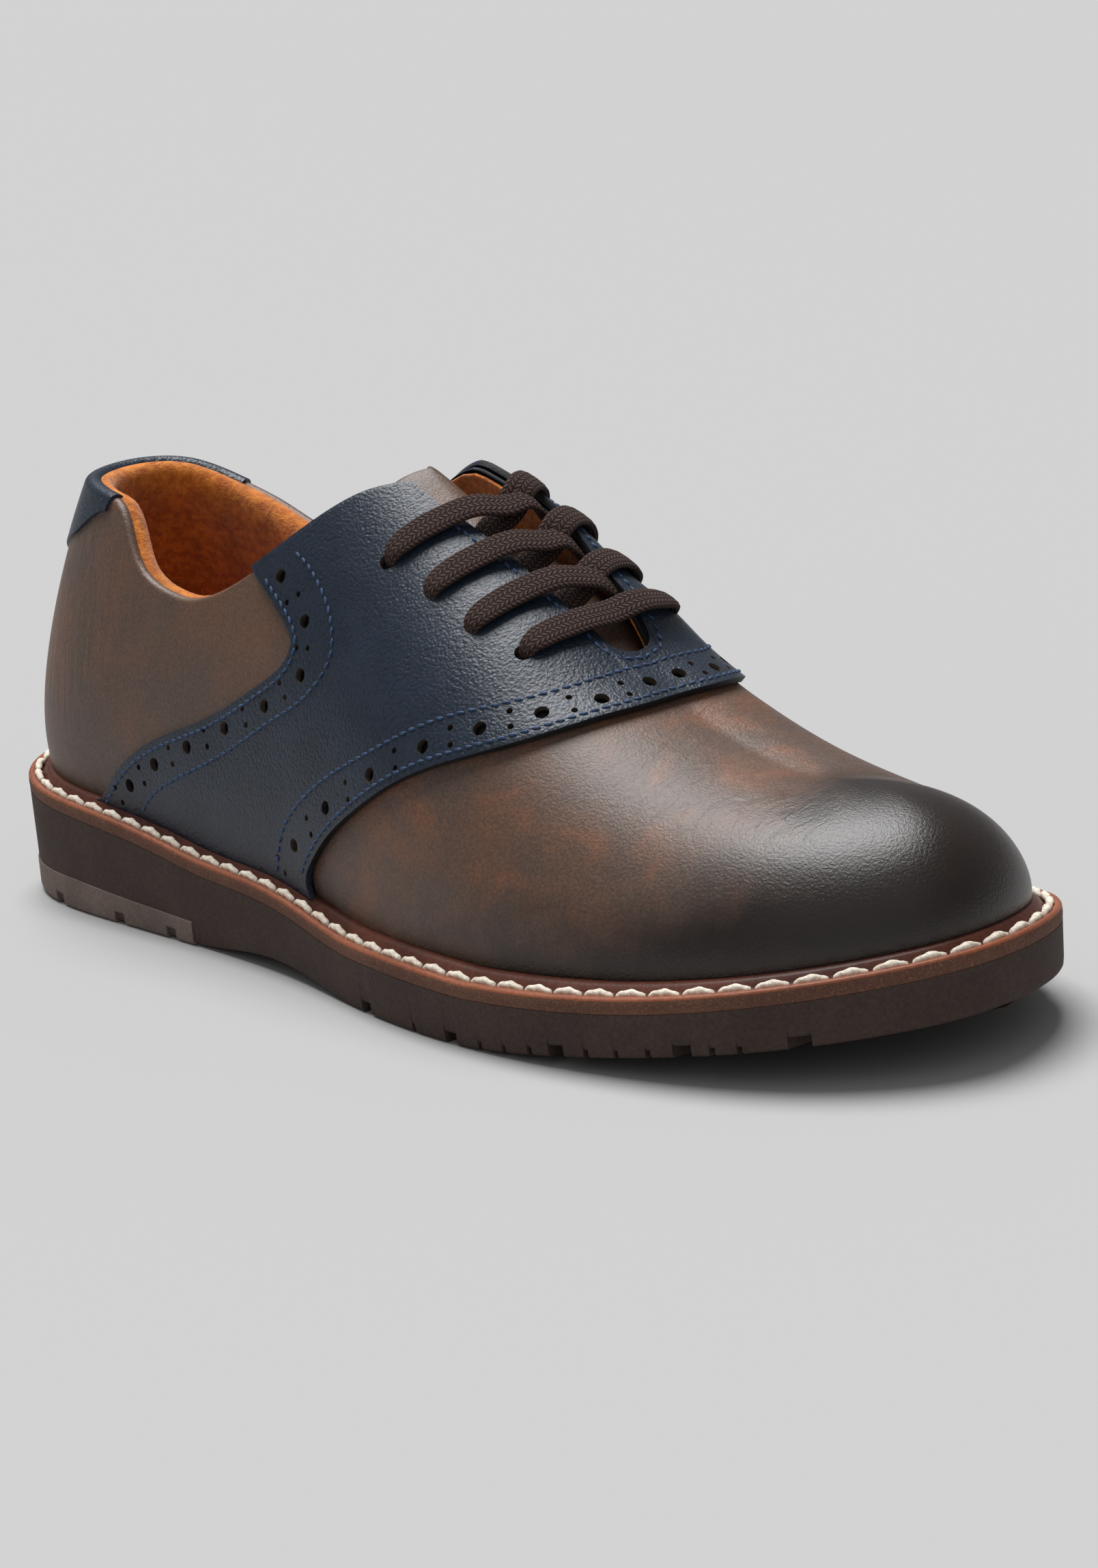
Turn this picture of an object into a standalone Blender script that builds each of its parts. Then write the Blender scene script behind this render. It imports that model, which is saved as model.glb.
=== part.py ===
"""Saddle shoe for the right foot, standing empty on its sole.

The frame has +X towards the toe, +Y towards the big toe side and +Z up. The origin is the middle
of the shoe's box on the floor. Every soft piece follows one surface, the last: a fan of sections
that run from the feather edge, where the leather meets the welt, up to the ridge over the foot.
A place on the last is a share along the sole and a rise, from 0 at the feather edge to 1 at the
ridge, on the lateral (little toe) or the medial (big toe) side.
"""
from collections import namedtuple

import bmesh
import bpy
import numpy as np

# Sizes of the sole, in metres
SOLE_LENGTH = 0.305
BALL_WIDTH = 0.1095
WAIST_WIDTH = 0.0765
HEEL_WIDTH = 0.077
HEEL_STACK = 0.0255
FOREFOOT_STACK = 0.0107
ARCH_RISE = 0.0028
TOE_SPRING = 0.0118
HEEL_BEVEL = 0.0022
SOLE_EDGE_RADIUS = 0.0012
SOLE_EDGE_DRAFT = 0.0004
GROOVE_WIDTH = 0.0040
GROOVE_DEPTH = 0.0024
INLAY_LENGTH = 0.090
INLAY_HEIGHT = 0.0068

# Sizes of the welt
WELT_WIDTH = 0.0070
WELT_THICKNESS = 0.0035
WELT_LIP = 0.0014
WELT_GROOVE = 0.0010

# Sizes of the last and of what is cut from it
INSTEP_HEIGHT = 0.095
TOE_HEIGHT = 0.0515
COLLAR_HEIGHT = 0.1015
THROAT_TOP_WIDTH = 0.0170
THROAT_END_WIDTH = 0.0110
UPPER_WALL = 0.0022
COLLAR_PAD = 0.0030
SADDLE_WALL = 0.0014
HEEL_COLLAR_WALL = 0.0012
HEEL_COLLAR_DROP = 0.0210
TONGUE_WALL = 0.0028
TONGUE_WIDTH = 0.0520
INSOLE_WALL = 0.0030
INSOLE_INSET = 0.0115
INSOLE_BEVEL = 0.0010
SIDE_BULGE = 0.0026

# Sizes of the lacing
EYELET_BORE = 0.0042
LACE_WIDTH = 0.0062
LACE_THICKNESS = 0.0025

# Room left between pieces that touch
GAP = 0.0003

# Points nearer than this are one point, given here as digits too
MERGE = 0.00003
MERGE_DIGITS = 6

LATERAL = -1
MEDIAL = 1

# Half widths of the sole's outline, as shares of the width named in each row
OutlineRow = namedtuple("OutlineRow", "along lateral medial width")
OUTLINE = (
    OutlineRow(0.025, 0.325, 0.312, HEEL_WIDTH),
    OutlineRow(0.10, 0.487, 0.468, HEEL_WIDTH),
    OutlineRow(0.20, 0.520, 0.480, HEEL_WIDTH),
    OutlineRow(0.32, 0.543, 0.455, WAIST_WIDTH),
    OutlineRow(0.45, 0.420, 0.356, BALL_WIDTH),
    OutlineRow(0.56, 0.480, 0.441, BALL_WIDTH),
    OutlineRow(0.68, 0.502, 0.498, BALL_WIDTH),
    OutlineRow(0.80, 0.457, 0.479, BALL_WIDTH),
    OutlineRow(0.90, 0.356, 0.415, BALL_WIDTH),
    OutlineRow(0.97, 0.196, 0.269, BALL_WIDTH),
)
TOE_TIP_OFFSET = 0.018

# The sole's thickness, from 0 for the forefoot's stack to 1 for the heel's
WedgeRow = namedtuple("WedgeRow", "along share")
WEDGE = (
    WedgeRow(0.00, 1.00),
    WedgeRow(0.12, 0.90),
    WedgeRow(0.25, 0.65),
    WedgeRow(0.40, 0.17),
    WedgeRow(0.55, 0.05),
    WedgeRow(0.68, 0.01),
    WedgeRow(0.80, -0.08),
    WedgeRow(0.90, -0.07),
    WedgeRow(1.00, -0.02),
)
HEEL_BEVEL_END = 0.12
ARCH_START = 0.28
ARCH_END = 0.53
SPRING_START = 0.66
SPRING_POWER = 1.25

# The ridge over the foot, from 0 for the toe's height to 1 for the instep's
RidgeRow = namedtuple("RidgeRow", "along rise")
RIDGE = (
    RidgeRow(0.00, 1.87),
    RidgeRow(0.20, 1.97),
    RidgeRow(0.295, 1.83),
    RidgeRow(0.377, 1.60),
    RidgeRow(0.459, 1.33),
    RidgeRow(0.541, 1.00),
    RidgeRow(0.623, 0.64),
    RidgeRow(0.705, 0.28),
    RidgeRow(0.787, 0.07),
    RidgeRow(0.869, 0.00),
    RidgeRow(0.934, 0.00),
    RidgeRow(0.984, 0.01),
)
RIDGE_START = 0.197
RIDGE_END = 0.879

# The last's sections: lean of the ridge as a share of the ball's width, powers of the curve
# across and up, bulge as a share of the side's bulge, and welt as a share of the welt's width
SectionRow = namedtuple("SectionRow", "along lean across up bulge welt")
SECTIONS = (
    SectionRow(0.00, 0.036, 1.95, 1.45, 1.00, 0.89),
    SectionRow(0.25, 0.036, 2.20, 1.75, 0.62, 1.00),
    SectionRow(0.50, 0.040, 2.35, 1.95, 0.42, 1.00),
    SectionRow(0.75, 0.050, 2.20, 2.05, 0.31, 1.20),
    SectionRow(1.00, 0.070, 2.20, 2.30, 0.31, 0.84),
)
BULGE_PEAK = 0.22

# The collar's edge on each side, as shares of the collar's height at the back
CollarRow = namedtuple("CollarRow", "along lateral medial")
COLLAR = (
    CollarRow(0.000, 1.000, 1.000),
    CollarRow(0.030, 0.996, 0.984),
    CollarRow(0.060, 0.990, 0.960),
    CollarRow(0.090, 0.981, 0.934),
    CollarRow(0.120, 0.965, 0.910),
    CollarRow(0.145, 0.918, 0.889),
    CollarRow(0.170, 0.852, 0.865),
    CollarRow(0.200, 0.805, 0.838),
    CollarRow(0.230, 0.785, 0.812),
    CollarRow(0.255, 0.781, 0.802),
    CollarRow(0.280, 0.799, 0.808),
    CollarRow(0.307, 0.837, 0.840),
    CollarRow(0.335, 0.893, 0.893),
    CollarRow(0.365, 0.966, 0.966),
    CollarRow(0.388, 1.025, 1.025),
    CollarRow(0.410, 1.055, 1.055),
    CollarRow(0.443, 1.062, 1.062),
)
COLLAR_DIP = 0.25
PAD_START = 0.28
PAD_END = 0.36
PAD_LOW = 0.55
PAD_HIGH = 0.90
THROAT_START = 0.443
THROAT_END = 0.676
THROAT_ROUND = 0.022

# The saddle's two edges up each side: the share along the sole at each rise
SaddleRow = namedtuple("SaddleRow", "rise along")
SADDLE_FRONT = (
    SaddleRow(0.000, 0.448),
    SaddleRow(0.042, 0.444),
    SaddleRow(0.083, 0.454),
    SaddleRow(0.145, 0.476),
    SaddleRow(0.244, 0.521),
    SaddleRow(0.354, 0.576),
    SaddleRow(0.478, 0.637),
    SaddleRow(0.618, 0.684),
    SaddleRow(0.760, 0.713),
    SaddleRow(0.899, 0.731),
    SaddleRow(1.000, 0.737),
)
SADDLE_BACK = (
    SaddleRow(0.000, 0.150),
    SaddleRow(0.035, 0.166),
    SaddleRow(0.108, 0.197),
    SaddleRow(0.169, 0.239),
    SaddleRow(0.238, 0.303),
    SaddleRow(0.323, 0.363),
    SaddleRow(0.377, 0.390),
    SaddleRow(0.414, 0.397),
    SaddleRow(0.445, 0.391),
    SaddleRow(0.466, 0.374),
    SaddleRow(0.501, 0.337),
)

# The lower edge of the heel collar, as shares of its drop below the collar's edge
DropRow = namedtuple("DropRow", "along share")
HEEL_COLLAR_EDGE = (
    DropRow(0.000, 1.00),
    DropRow(0.015, 0.92),
    DropRow(0.036, 0.70),
    DropRow(0.060, 0.56),
    DropRow(0.080, 0.36),
    DropRow(0.100, 0.20),
    DropRow(0.125, 0.15),
)
HEEL_COLLAR_LATERAL_END = 0.125
HEEL_COLLAR_MEDIAL_END = 0.095

# The tongue's half width, as shares, from its root to its rounded top
TongueRow = namedtuple("TongueRow", "along width")
TONGUE = (
    TongueRow(0.730, 0.56),
    TongueRow(0.690, 0.70),
    TongueRow(0.650, 0.78),
    TongueRow(0.600, 0.86),
    TongueRow(0.550, 0.92),
    TongueRow(0.500, 0.97),
    TongueRow(0.460, 1.00),
    TongueRow(0.430, 1.00),
    TongueRow(0.408, 0.92),
    TongueRow(0.392, 0.76),
    TongueRow(0.380, 0.52),
    TongueRow(0.374, 0.24),
)

# The eyelets of one side, from the top of the throat down
EyeletRow = namedtuple("EyeletRow", "along rise")
EYELETS = (
    EyeletRow(0.460, 0.700),
    EyeletRow(0.515, 0.721),
    EyeletRow(0.569, 0.736),
    EyeletRow(0.622, 0.750),
)

# A lace's run across the throat: steps along and the rise on the side it comes from, then on the
# side it dives under, and its height over the saddle in lace thicknesses
RunRow = namedtuple("RunRow", "step crossed rise over under")
CROSSING = (
    RunRow(0.000, 0, 0.705, 0.62, 0.62),
    RunRow(0.004, 0, 0.780, 0.66, 0.66),
    RunRow(0.009, 0, 0.850, 0.74, 0.66),
    RunRow(0.015, 0, 0.920, 0.98, 0.40),
    RunRow(0.021, 0, 0.985, 1.02, -0.06),
    RunRow(0.027, 1, 0.960, 0.34, -0.44),
)
BAR = (
    RunRow(0.000, 0, 0.755, 0.62, 0.0),
    RunRow(0.006, 0, 0.815, 0.66, 0.0),
    RunRow(0.012, 0, 0.875, 0.72, 0.0),
    RunRow(0.016, 0, 0.935, 0.76, 0.0),
    RunRow(0.018, 0, 1.000, 0.78, 0.0),
    RunRow(0.016, 1, 0.935, 0.76, 0.0),
    RunRow(0.012, 1, 0.875, 0.72, 0.0),
    RunRow(0.006, 1, 0.815, 0.66, 0.0),
    RunRow(0.000, 1, 0.755, 0.62, 0.0),
)
LACE_SIDES = 8
EYELET_SIDES = 8

# The welt's profile from its outer edge to the leather: share of its width, and its height in
# shares of the welt's thickness, of the groove's depth and of the lip
ProfileRow = namedtuple("ProfileRow", "across thickness groove lip")
WELT_PROFILE = (
    ProfileRow(0.00, 0.80, 0, 0),
    ProfileRow(0.08, 1.00, 0, 0),
    ProfileRow(0.46, 1.00, 0, 0),
    ProfileRow(0.52, 1.00, 1, 0),
    ProfileRow(0.70, 1.00, 1, 0),
    ProfileRow(0.76, 0.80, 0, 1),
    ProfileRow(0.84, 1.00, 0, 1),
    ProfileRow(0.92, 1.00, 0, 1),
    ProfileRow(1.00, 1.00, 0, 0),
)

# Shares along the sole of the cuts across the tread, and across the heel's inlay
FOREFOOT_GROOVES = (0.545, 0.651, 0.753, 0.852, 0.926)
INLAY_GROOVES = (0.35, 0.66, 0.90)

# Shares along the sole where the pieces have their sections
STATIONS = (
    0.0, 0.003, 0.012, 0.027, 0.048, 0.075, 0.100, 0.125, 0.145, 0.170, 0.200, 0.235, 0.275,
    0.315, 0.350, 0.385, 0.415, THROAT_START, 0.480, 0.525, 0.570, 0.610, 0.640, 0.658, 0.669,
    THROAT_END, 0.700, 0.737, 0.775, 0.815, 0.855, 0.890, 0.920, 0.945, 0.967, 0.985, 0.996, 1.0,
)
UPPER_ROWS = (0.0, 0.05, 0.11, 0.18, 0.26, 0.35, 0.44, 0.53, 0.62, 0.71, 0.80, 0.90, 1.0)
SADDLE_ROWS = (
    0.0, 0.075, 0.125, 0.185, 0.245, 0.305, 0.350, 0.385, 0.414, 0.440, 0.462, 0.482, 0.501,
    0.560, 0.630, 0.700, 0.770, 0.830, 0.875, 0.897, 0.912, 0.926, 0.937, 0.945, 0.960, 1.0,
)
SADDLE_COLUMNS = (0.0, 0.08, 0.17, 0.26, 0.35, 0.44, 0.53, 0.62, 0.71, 0.80, 0.90, 1.0)
HEEL_COLLAR_ROWS = 6
TONGUE_COLUMNS = 9
INSOLE_TIP = 0.001
EDGE_SAMPLES = 240
SECANT = 0.02


class Curve:
    """Smooth curve through the rows of a table, straight past its ends, or closed round."""

    def __init__(self, places, values, closed=False):
        self.x = np.asarray(places, float)
        self.y = np.asarray(values, float)
        self.closed = closed
        step = np.diff(self.x)
        slope = np.diff(self.y) / step
        count = len(self.x)
        matrix = np.zeros((count, count))
        right = np.zeros(count)
        for i in range(1, count - 1):
            matrix[i, i - 1:i + 2] = step[i - 1], 2 * (step[i - 1] + step[i]), step[i]
            right[i] = 6 * (slope[i] - slope[i - 1])
        if closed:
            matrix[0, 0] = 1.0
            matrix[0, -1] = -1.0
            matrix[-1, [0, 1]] = 2 * step[0], step[0]
            matrix[-1, [-2, -1]] = step[-1], 2 * step[-1]
            right[-1] = 6 * (slope[0] - slope[-1])
        else:
            matrix[0, 0] = matrix[-1, -1] = 1.0
        self.bend = np.linalg.solve(matrix, right)
        self.first = slope[0] - step[0] * (2 * self.bend[0] + self.bend[1]) / 6
        self.last = slope[-1] + step[-1] * (self.bend[-2] + 2 * self.bend[-1]) / 6

    def __call__(self, place):
        place = np.asarray(place, float)
        x, y, bend = self.x, self.y, self.bend
        if self.closed:
            place = x[0] + np.mod(place - x[0], x[-1] - x[0])
        i = np.clip(np.searchsorted(x, place, side="right") - 1, 0, len(x) - 2)
        step = x[i + 1] - x[i]
        a = (x[i + 1] - place) / step
        b = (place - x[i]) / step
        inside = a * y[i] + b * y[i + 1]
        inside = inside + ((a ** 3 - a) * bend[i] + (b ** 3 - b) * bend[i + 1]) * step ** 2 / 6
        if self.closed:
            return inside
        before = y[0] + self.first * (place - x[0])
        after = y[-1] + self.last * (place - x[-1])
        return np.where(place < x[0], before, np.where(place > x[-1], after, inside))


def table_curve(table, key, column):
    """Curve through one column of a table."""
    return Curve([getattr(row, key) for row in table], [getattr(row, column) for row in table])


def turn(share):
    """Angle round the outline, from 0 at the heel's back to pi at the toe's tip."""
    return np.arccos(1 - 2 * np.asarray(share, float))


def outline_curve():
    """Width of the outline over the angle: lateral half, toe's tip, medial half."""
    angles = [float(turn(row.along)) for row in OUTLINE]
    lateral = [-row.lateral * row.width for row in OUTLINE]
    medial = [row.medial * row.width for row in OUTLINE]
    places = [0.0] + angles + [np.pi] + [2 * np.pi - a for a in reversed(angles)] + [2 * np.pi]
    values = [0.0] + lateral + [TOE_TIP_OFFSET * BALL_WIDTH] + medial[::-1] + [0.0]
    return Curve(places, values, closed=True)


WIDTH_AT = outline_curve()
WEDGE_AT = table_curve(WEDGE, "along", "share")
RISE_AT = table_curve(RIDGE, "along", "rise")
LEAN_AT = table_curve(SECTIONS, "along", "lean")
ACROSS_AT = table_curve(SECTIONS, "along", "across")
UP_AT = table_curve(SECTIONS, "along", "up")
BULGE_AT = table_curve(SECTIONS, "along", "bulge")
WELT_AT = table_curve(SECTIONS, "along", "welt")
COLLAR_AT = {
    LATERAL: table_curve(COLLAR, "along", "lateral"),
    MEDIAL: table_curve(COLLAR, "along", "medial"),
}
SADDLE_FRONT_AT = table_curve(SADDLE_FRONT, "rise", "along")
SADDLE_BACK_AT = table_curve(SADDLE_BACK, "rise", "along")
DROP_AT = table_curve(HEEL_COLLAR_EDGE, "along", "share")


def outline(angle, inset=0.0):
    """Share along, x and y of the sole's outline, moved inwards by the inset."""
    half = SOLE_LENGTH / 2
    x = half * (1 - np.cos(angle))
    y = WIDTH_AT(angle)
    dx = half * (np.cos(angle - SECANT) - np.cos(angle + SECANT))
    dy = WIDTH_AT(angle + SECANT) - WIDTH_AT(angle - SECANT)
    length = np.hypot(dx, dy)
    return x / SOLE_LENGTH, x - inset * dy / length, y + inset * dx / length


def sole_bottom(along):
    """Height of the tread: bevelled heel, arch, two flat spots and toe spring."""
    along = np.asarray(along, float)
    bevel = np.clip(1 - along / HEEL_BEVEL_END, 0, 1) ** 2
    arch = np.clip((along - ARCH_START) / (ARCH_END - ARCH_START), 0, 1)
    spring = np.clip((along - SPRING_START) / (1 - SPRING_START), 0, 1) ** SPRING_POWER
    return HEEL_BEVEL * bevel + ARCH_RISE * np.sin(np.pi * arch) ** 2 + TOE_SPRING * spring


def sole_top(along):
    """Height of the sole under the welt."""
    stack = FOREFOOT_STACK + (HEEL_STACK - FOREFOOT_STACK) * WEDGE_AT(along)
    return sole_bottom(np.clip(along, 0, 1)) + stack


def ridge(along):
    """Share along, x, y and z of the ridge where the fan's section ends."""
    share = RIDGE_START + (RIDGE_END - RIDGE_START) * along
    z = TOE_HEIGHT + (INSTEP_HEIGHT - TOE_HEIGHT) * RISE_AT(share)
    return share, share * SOLE_LENGTH, LEAN_AT(share) * BALL_WIDTH, z


def last_point(angle, climb):
    """Point on the last at an angle round the outline and a climb from 0 to half a turn."""
    angle, climb = np.broadcast_arrays(np.asarray(angle, float), np.asarray(climb, float))
    past = climb > np.pi / 2
    angle = np.where(past, 2 * np.pi - angle, angle)
    climb = np.where(past, np.pi - climb, climb)
    along, edge_x, edge_y = outline(angle)
    _, foot_x, foot_y = outline(angle, WELT_AT(along) * WELT_WIDTH)
    _, ridge_x, ridge_y, ridge_z = ridge(along)
    across = np.maximum(np.cos(climb), 0) ** (2 / ACROSS_AT(along))
    up = np.maximum(np.sin(climb), 0) ** (2 / UP_AT(along))
    bulge = SIDE_BULGE * BULGE_AT(along) * across * (up / BULGE_PEAK) * np.exp(1 - up / BULGE_PEAK)
    out_x = (edge_x - foot_x) / (WELT_AT(along) * WELT_WIDTH)
    out_y = (edge_y - foot_y) / (WELT_AT(along) * WELT_WIDTH)
    foot_z = sole_top(along) + WELT_THICKNESS
    x = ridge_x + (foot_x - ridge_x) * across + out_x * bulge
    y = ridge_y + (foot_y - ridge_y) * across + out_y * bulge
    z = foot_z + (ridge_z - foot_z) * up
    return np.stack([x, y, z], axis=-1)


def side_normal(angle, climb):
    """Outward direction of one side of the last, from secants."""
    round_it = last_point(angle + SECANT, climb) - last_point(angle - SECANT, climb)
    up_it = last_point(angle, climb + SECANT) - last_point(angle, np.maximum(climb - SECANT, 0.0))
    normal = np.cross(round_it, up_it)
    return normal / np.linalg.norm(normal, axis=-1, keepdims=True)


def last_normal(angle, climb):
    """Outward direction of the last, shared by both sides at the ridge."""
    past = climb > np.pi / 2
    angle = np.where(past, 2 * np.pi - angle, angle)
    climb = np.where(past, np.pi - climb, climb)
    top = np.pi / 2 - SECANT
    share = np.clip((climb - top) / SECANT, 0, 1)[..., None] / 2
    climb = np.minimum(climb, top)
    normal = side_normal(angle, climb) * (1 - share) + side_normal(2 * np.pi - angle, climb) * share
    return normal / np.linalg.norm(normal, axis=-1, keepdims=True)


def on_last(angle, climb, depth=0.0):
    """Point at a depth under the last's surface, or over it where the depth is negative."""
    angle, climb = np.broadcast_arrays(np.asarray(angle, float), np.asarray(climb, float))
    depth = np.asarray(depth, float)
    return last_point(angle, climb) - last_normal(angle, climb) * depth[..., None]


def side_angle(along, side):
    """Angle round the outline of a share along on one side."""
    angle = turn(along)
    return angle if side == LATERAL else 2 * np.pi - angle


def climb_for_height(along, height):
    """Climb at which the last reaches a height."""
    foot_z = sole_top(along) + WELT_THICKNESS
    ridge_z = ridge(along)[3]
    up = np.clip((height - foot_z) / (ridge_z - foot_z), 0.0, 1.0)
    return np.arcsin(up ** (UP_AT(along) / 2))


def climb_for_width(along, side, half_width):
    """Climb at which the last is half a width to the side of its ridge."""
    angle = side_angle(along, side)
    _, _, foot_y = outline(angle, WELT_AT(along) * WELT_WIDTH)
    reach = np.abs(foot_y - ridge(along)[2])
    across = np.clip(half_width / np.maximum(reach, half_width), 0.0, 1.0)
    return np.arccos(across ** (ACROSS_AT(along) / 2))


def throat_climb(along, side):
    """Climb of the throat's edge, rounded to the ridge at the throat's end."""
    share = np.clip((along - THROAT_START) / (THROAT_END - THROAT_START), 0, 1)
    half = (THROAT_TOP_WIDTH + (THROAT_END_WIDTH - THROAT_TOP_WIDTH) * share) / 2
    end = np.clip((THROAT_END - along) / THROAT_ROUND, 0, 1)
    half = half * np.sqrt(1 - (1 - end) ** 2)
    return climb_for_width(along, side, half)


def edge_climb(along, side):
    """Climb of the upper's free edge: the collar, then the throat, then the closed ridge."""
    along = np.asarray(along, float)
    collar = climb_for_height(along, COLLAR_HEIGHT * COLLAR_AT[side](along))
    throat = throat_climb(along, side)
    facing = np.where(along < THROAT_START, np.minimum(collar, throat), throat)
    return np.where(along < COLLAR_DIP, collar, facing)


def pad_share(along):
    """Share of the collar's pad: whole round the ankle and none at the facings."""
    return np.clip((PAD_END - along) / (PAD_END - PAD_START), 0, 1)


def centre_offset():
    """Middle of the outline's box, which goes to the origin."""
    angles = np.concatenate([side_angle(STATIONS, LATERAL), side_angle(STATIONS, MEDIAL)])
    _, x, y = outline(angles)
    return np.array([(x.min() + x.max()) / 2, (y.min() + y.max()) / 2, 0.0])


CENTRE = centre_offset()


def clear_scene():
    """Start from an empty scene."""
    for item in list(bpy.data.objects):
        bpy.data.objects.remove(item, do_unlink=True)


def material(name, colour, roughness):
    """Plain material with the colour of the piece."""
    result = bpy.data.materials.new(name)
    result.use_nodes = True
    shader = result.node_tree.nodes["Principled BSDF"]
    shader.inputs["Base Color"].default_value = (*colour, 1.0)
    shader.inputs["Roughness"].default_value = roughness
    shader.inputs["Metallic"].default_value = 0.0
    return result


def add_object(name, bm, finish, smooth_angle=40):
    """Object from a bmesh, in the shoe's frame, smooth where it is round."""
    bmesh.ops.recalc_face_normals(bm, faces=bm.faces)
    mesh = bpy.data.meshes.new(name)
    bm.to_mesh(mesh)
    bm.free()
    mesh.shade_smooth()
    mesh.set_sharp_from_angle(angle=np.radians(smooth_angle))
    result = bpy.data.objects.new(name, mesh)
    bpy.context.collection.objects.link(result)
    if finish is not None:
        mesh.materials.append(finish)
    return result


def add_face(bm, corners):
    """Face through the corners, without those that fall together."""
    kept = [v for i, v in enumerate(corners) if v is not corners[i - 1]]
    if len(kept) > 2:
        bm.faces.new(kept)


def wall_object(name, patches, finish):
    """Closed wall from patches of paired points, welded where they meet.

    Each patch is a pair of grids, the outer skin and the inner one. Every open edge of the
    welded skin gets a rim.
    """
    bm = bmesh.new()
    skin = {}
    inner_place = {}

    def skin_vertex(outer, inner):
        key = tuple(np.round(outer, MERGE_DIGITS) + 0.0)
        if key not in skin:
            skin[key] = bm.verts.new(outer - CENTRE)
            inner_place[skin[key]] = inner - CENTRE
        return skin[key]

    for outer, inner in patches:
        rows, columns = outer.shape[:2]
        grid = [[skin_vertex(outer[i, j], inner[i, j]) for j in range(columns)]
                for i in range(rows)]
        for i in range(rows - 1):
            for j in range(columns - 1):
                add_face(bm, [grid[i][j], grid[i + 1][j], grid[i + 1][j + 1], grid[i][j + 1]])
    lining = {v: bm.verts.new(place) for v, place in inner_place.items()}
    outside = list(bm.faces)
    rims = [edge for edge in bm.edges if edge.is_boundary]
    for face in outside:
        bm.faces.new([lining[v] for v in reversed(face.verts)])
    for edge in rims:
        first, second = edge.verts
        bm.faces.new([first, second, lining[second], lining[first]])
    return add_object(name, bm, finish)


def ring_object(name, sections, finish):
    """Closed ring through sections that are closed loops of points."""
    bm = bmesh.new()
    loops = [[bm.verts.new(point - CENTRE) for point in section] for section in sections]
    for i, loop in enumerate(loops):
        following = loops[(i + 1) % len(loops)]
        for j in range(len(loop)):
            k = (j + 1) % len(loop)
            bm.faces.new([loop[j], following[j], following[k], loop[k]])
    return add_object(name, bm, finish)


def slab_object(name, shares, levels, finish):
    """Slab with the outline's plan, in levels of inset and height, from top to bottom."""
    bm = bmesh.new()

    def level_rails(inset, height):
        rails = []
        for share in shares:
            pair = []
            for side in (LATERAL, MEDIAL):
                _, x, y = outline(side_angle(share, side), inset)
                pair.append(np.array([x, y, float(height(share))]))
            if np.linalg.norm(pair[0] - pair[1]) < MERGE:
                pair = [bm.verts.new(pair[0] - CENTRE)] * 2
            else:
                pair = [bm.verts.new(point - CENTRE) for point in pair]
            rails.append(pair)
        return rails

    rails = [level_rails(inset, height) for inset, height in levels]
    for cap in (rails[0], rails[-1]):
        for near, far in zip(cap, cap[1:]):
            add_face(bm, [near[0], near[1], far[1], far[0]])
    for upper, lower in zip(rails, rails[1:]):
        for i in range(len(shares) - 1):
            for side in (0, 1):
                add_face(bm, [upper[i][side], upper[i + 1][side],
                              lower[i + 1][side], lower[i][side]])
        for end in (0, -1):
            if upper[end][0] is not upper[end][1]:
                add_face(bm, [upper[end][0], upper[end][1], lower[end][1], lower[end][0]])
    return add_object(name, bm, finish, smooth_angle=30)


def cutter(name, bm):
    """Hidden guide that cuts another object."""
    result = add_object(name, bm, None)
    result.hide_render = True
    result.display_type = "WIRE"
    return result


def add_box(bm, low, high):
    """Box between two corners."""
    made = bmesh.ops.create_cube(bm, size=1.0)["verts"]
    bmesh.ops.scale(bm, vec=np.subtract(high, low), verts=made)
    bmesh.ops.translate(bm, vec=(np.add(high, low)) / 2, verts=made)


def cut(target, tool):
    """Take the tool's shape out of the target."""
    modifier = target.modifiers.new("cut_" + tool.name, "BOOLEAN")
    modifier.operation = "DIFFERENCE"
    modifier.solver = "EXACT"
    modifier.object = tool


def join(target, tool):
    """Fuse the tool's shape to the target."""
    modifier = target.modifiers.new("join_" + tool.name, "BOOLEAN")
    modifier.operation = "UNION"
    modifier.solver = "EXACT"
    modifier.object = tool


def groove_cutter(name, shares):
    """Bars across the tread at shares along the sole."""
    bm = bmesh.new()
    for share in shares:
        x = share * SOLE_LENGTH - CENTRE[0]
        floor = float(sole_bottom(share))
        add_box(bm, (x - GROOVE_WIDTH / 2, -BALL_WIDTH, floor - GROOVE_DEPTH),
                (x + GROOVE_WIDTH / 2, BALL_WIDTH, floor + GROOVE_DEPTH))
    return cutter(name, bm)


def edge_bottom(along):
    """Height at which the sole's side turns under to the tread."""
    return sole_bottom(along) + SOLE_EDGE_RADIUS


def make_outsole(finish):
    """Unit sole: wedge, arch and toe spring, recessed for the heel's inlay and grooved."""
    shares = sorted(set(STATIONS) | {ARCH_START, ARCH_END, SPRING_START})
    levels = (
        (0.0, sole_top),
        (SOLE_EDGE_DRAFT, edge_bottom),
        (SOLE_EDGE_RADIUS, sole_bottom),
    )
    sole = slab_object("outsole", shares, levels, finish)
    recess = bmesh.new()
    add_box(recess, (-SOLE_LENGTH, -BALL_WIDTH, -SOLE_LENGTH),
            (INLAY_LENGTH + GAP - CENTRE[0], BALL_WIDTH, INLAY_HEIGHT + GAP))
    cut(sole, cutter("inlay_recess", recess))
    cut(sole, groove_cutter("forefoot_grooves", FOREFOOT_GROOVES))
    return sole


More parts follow.
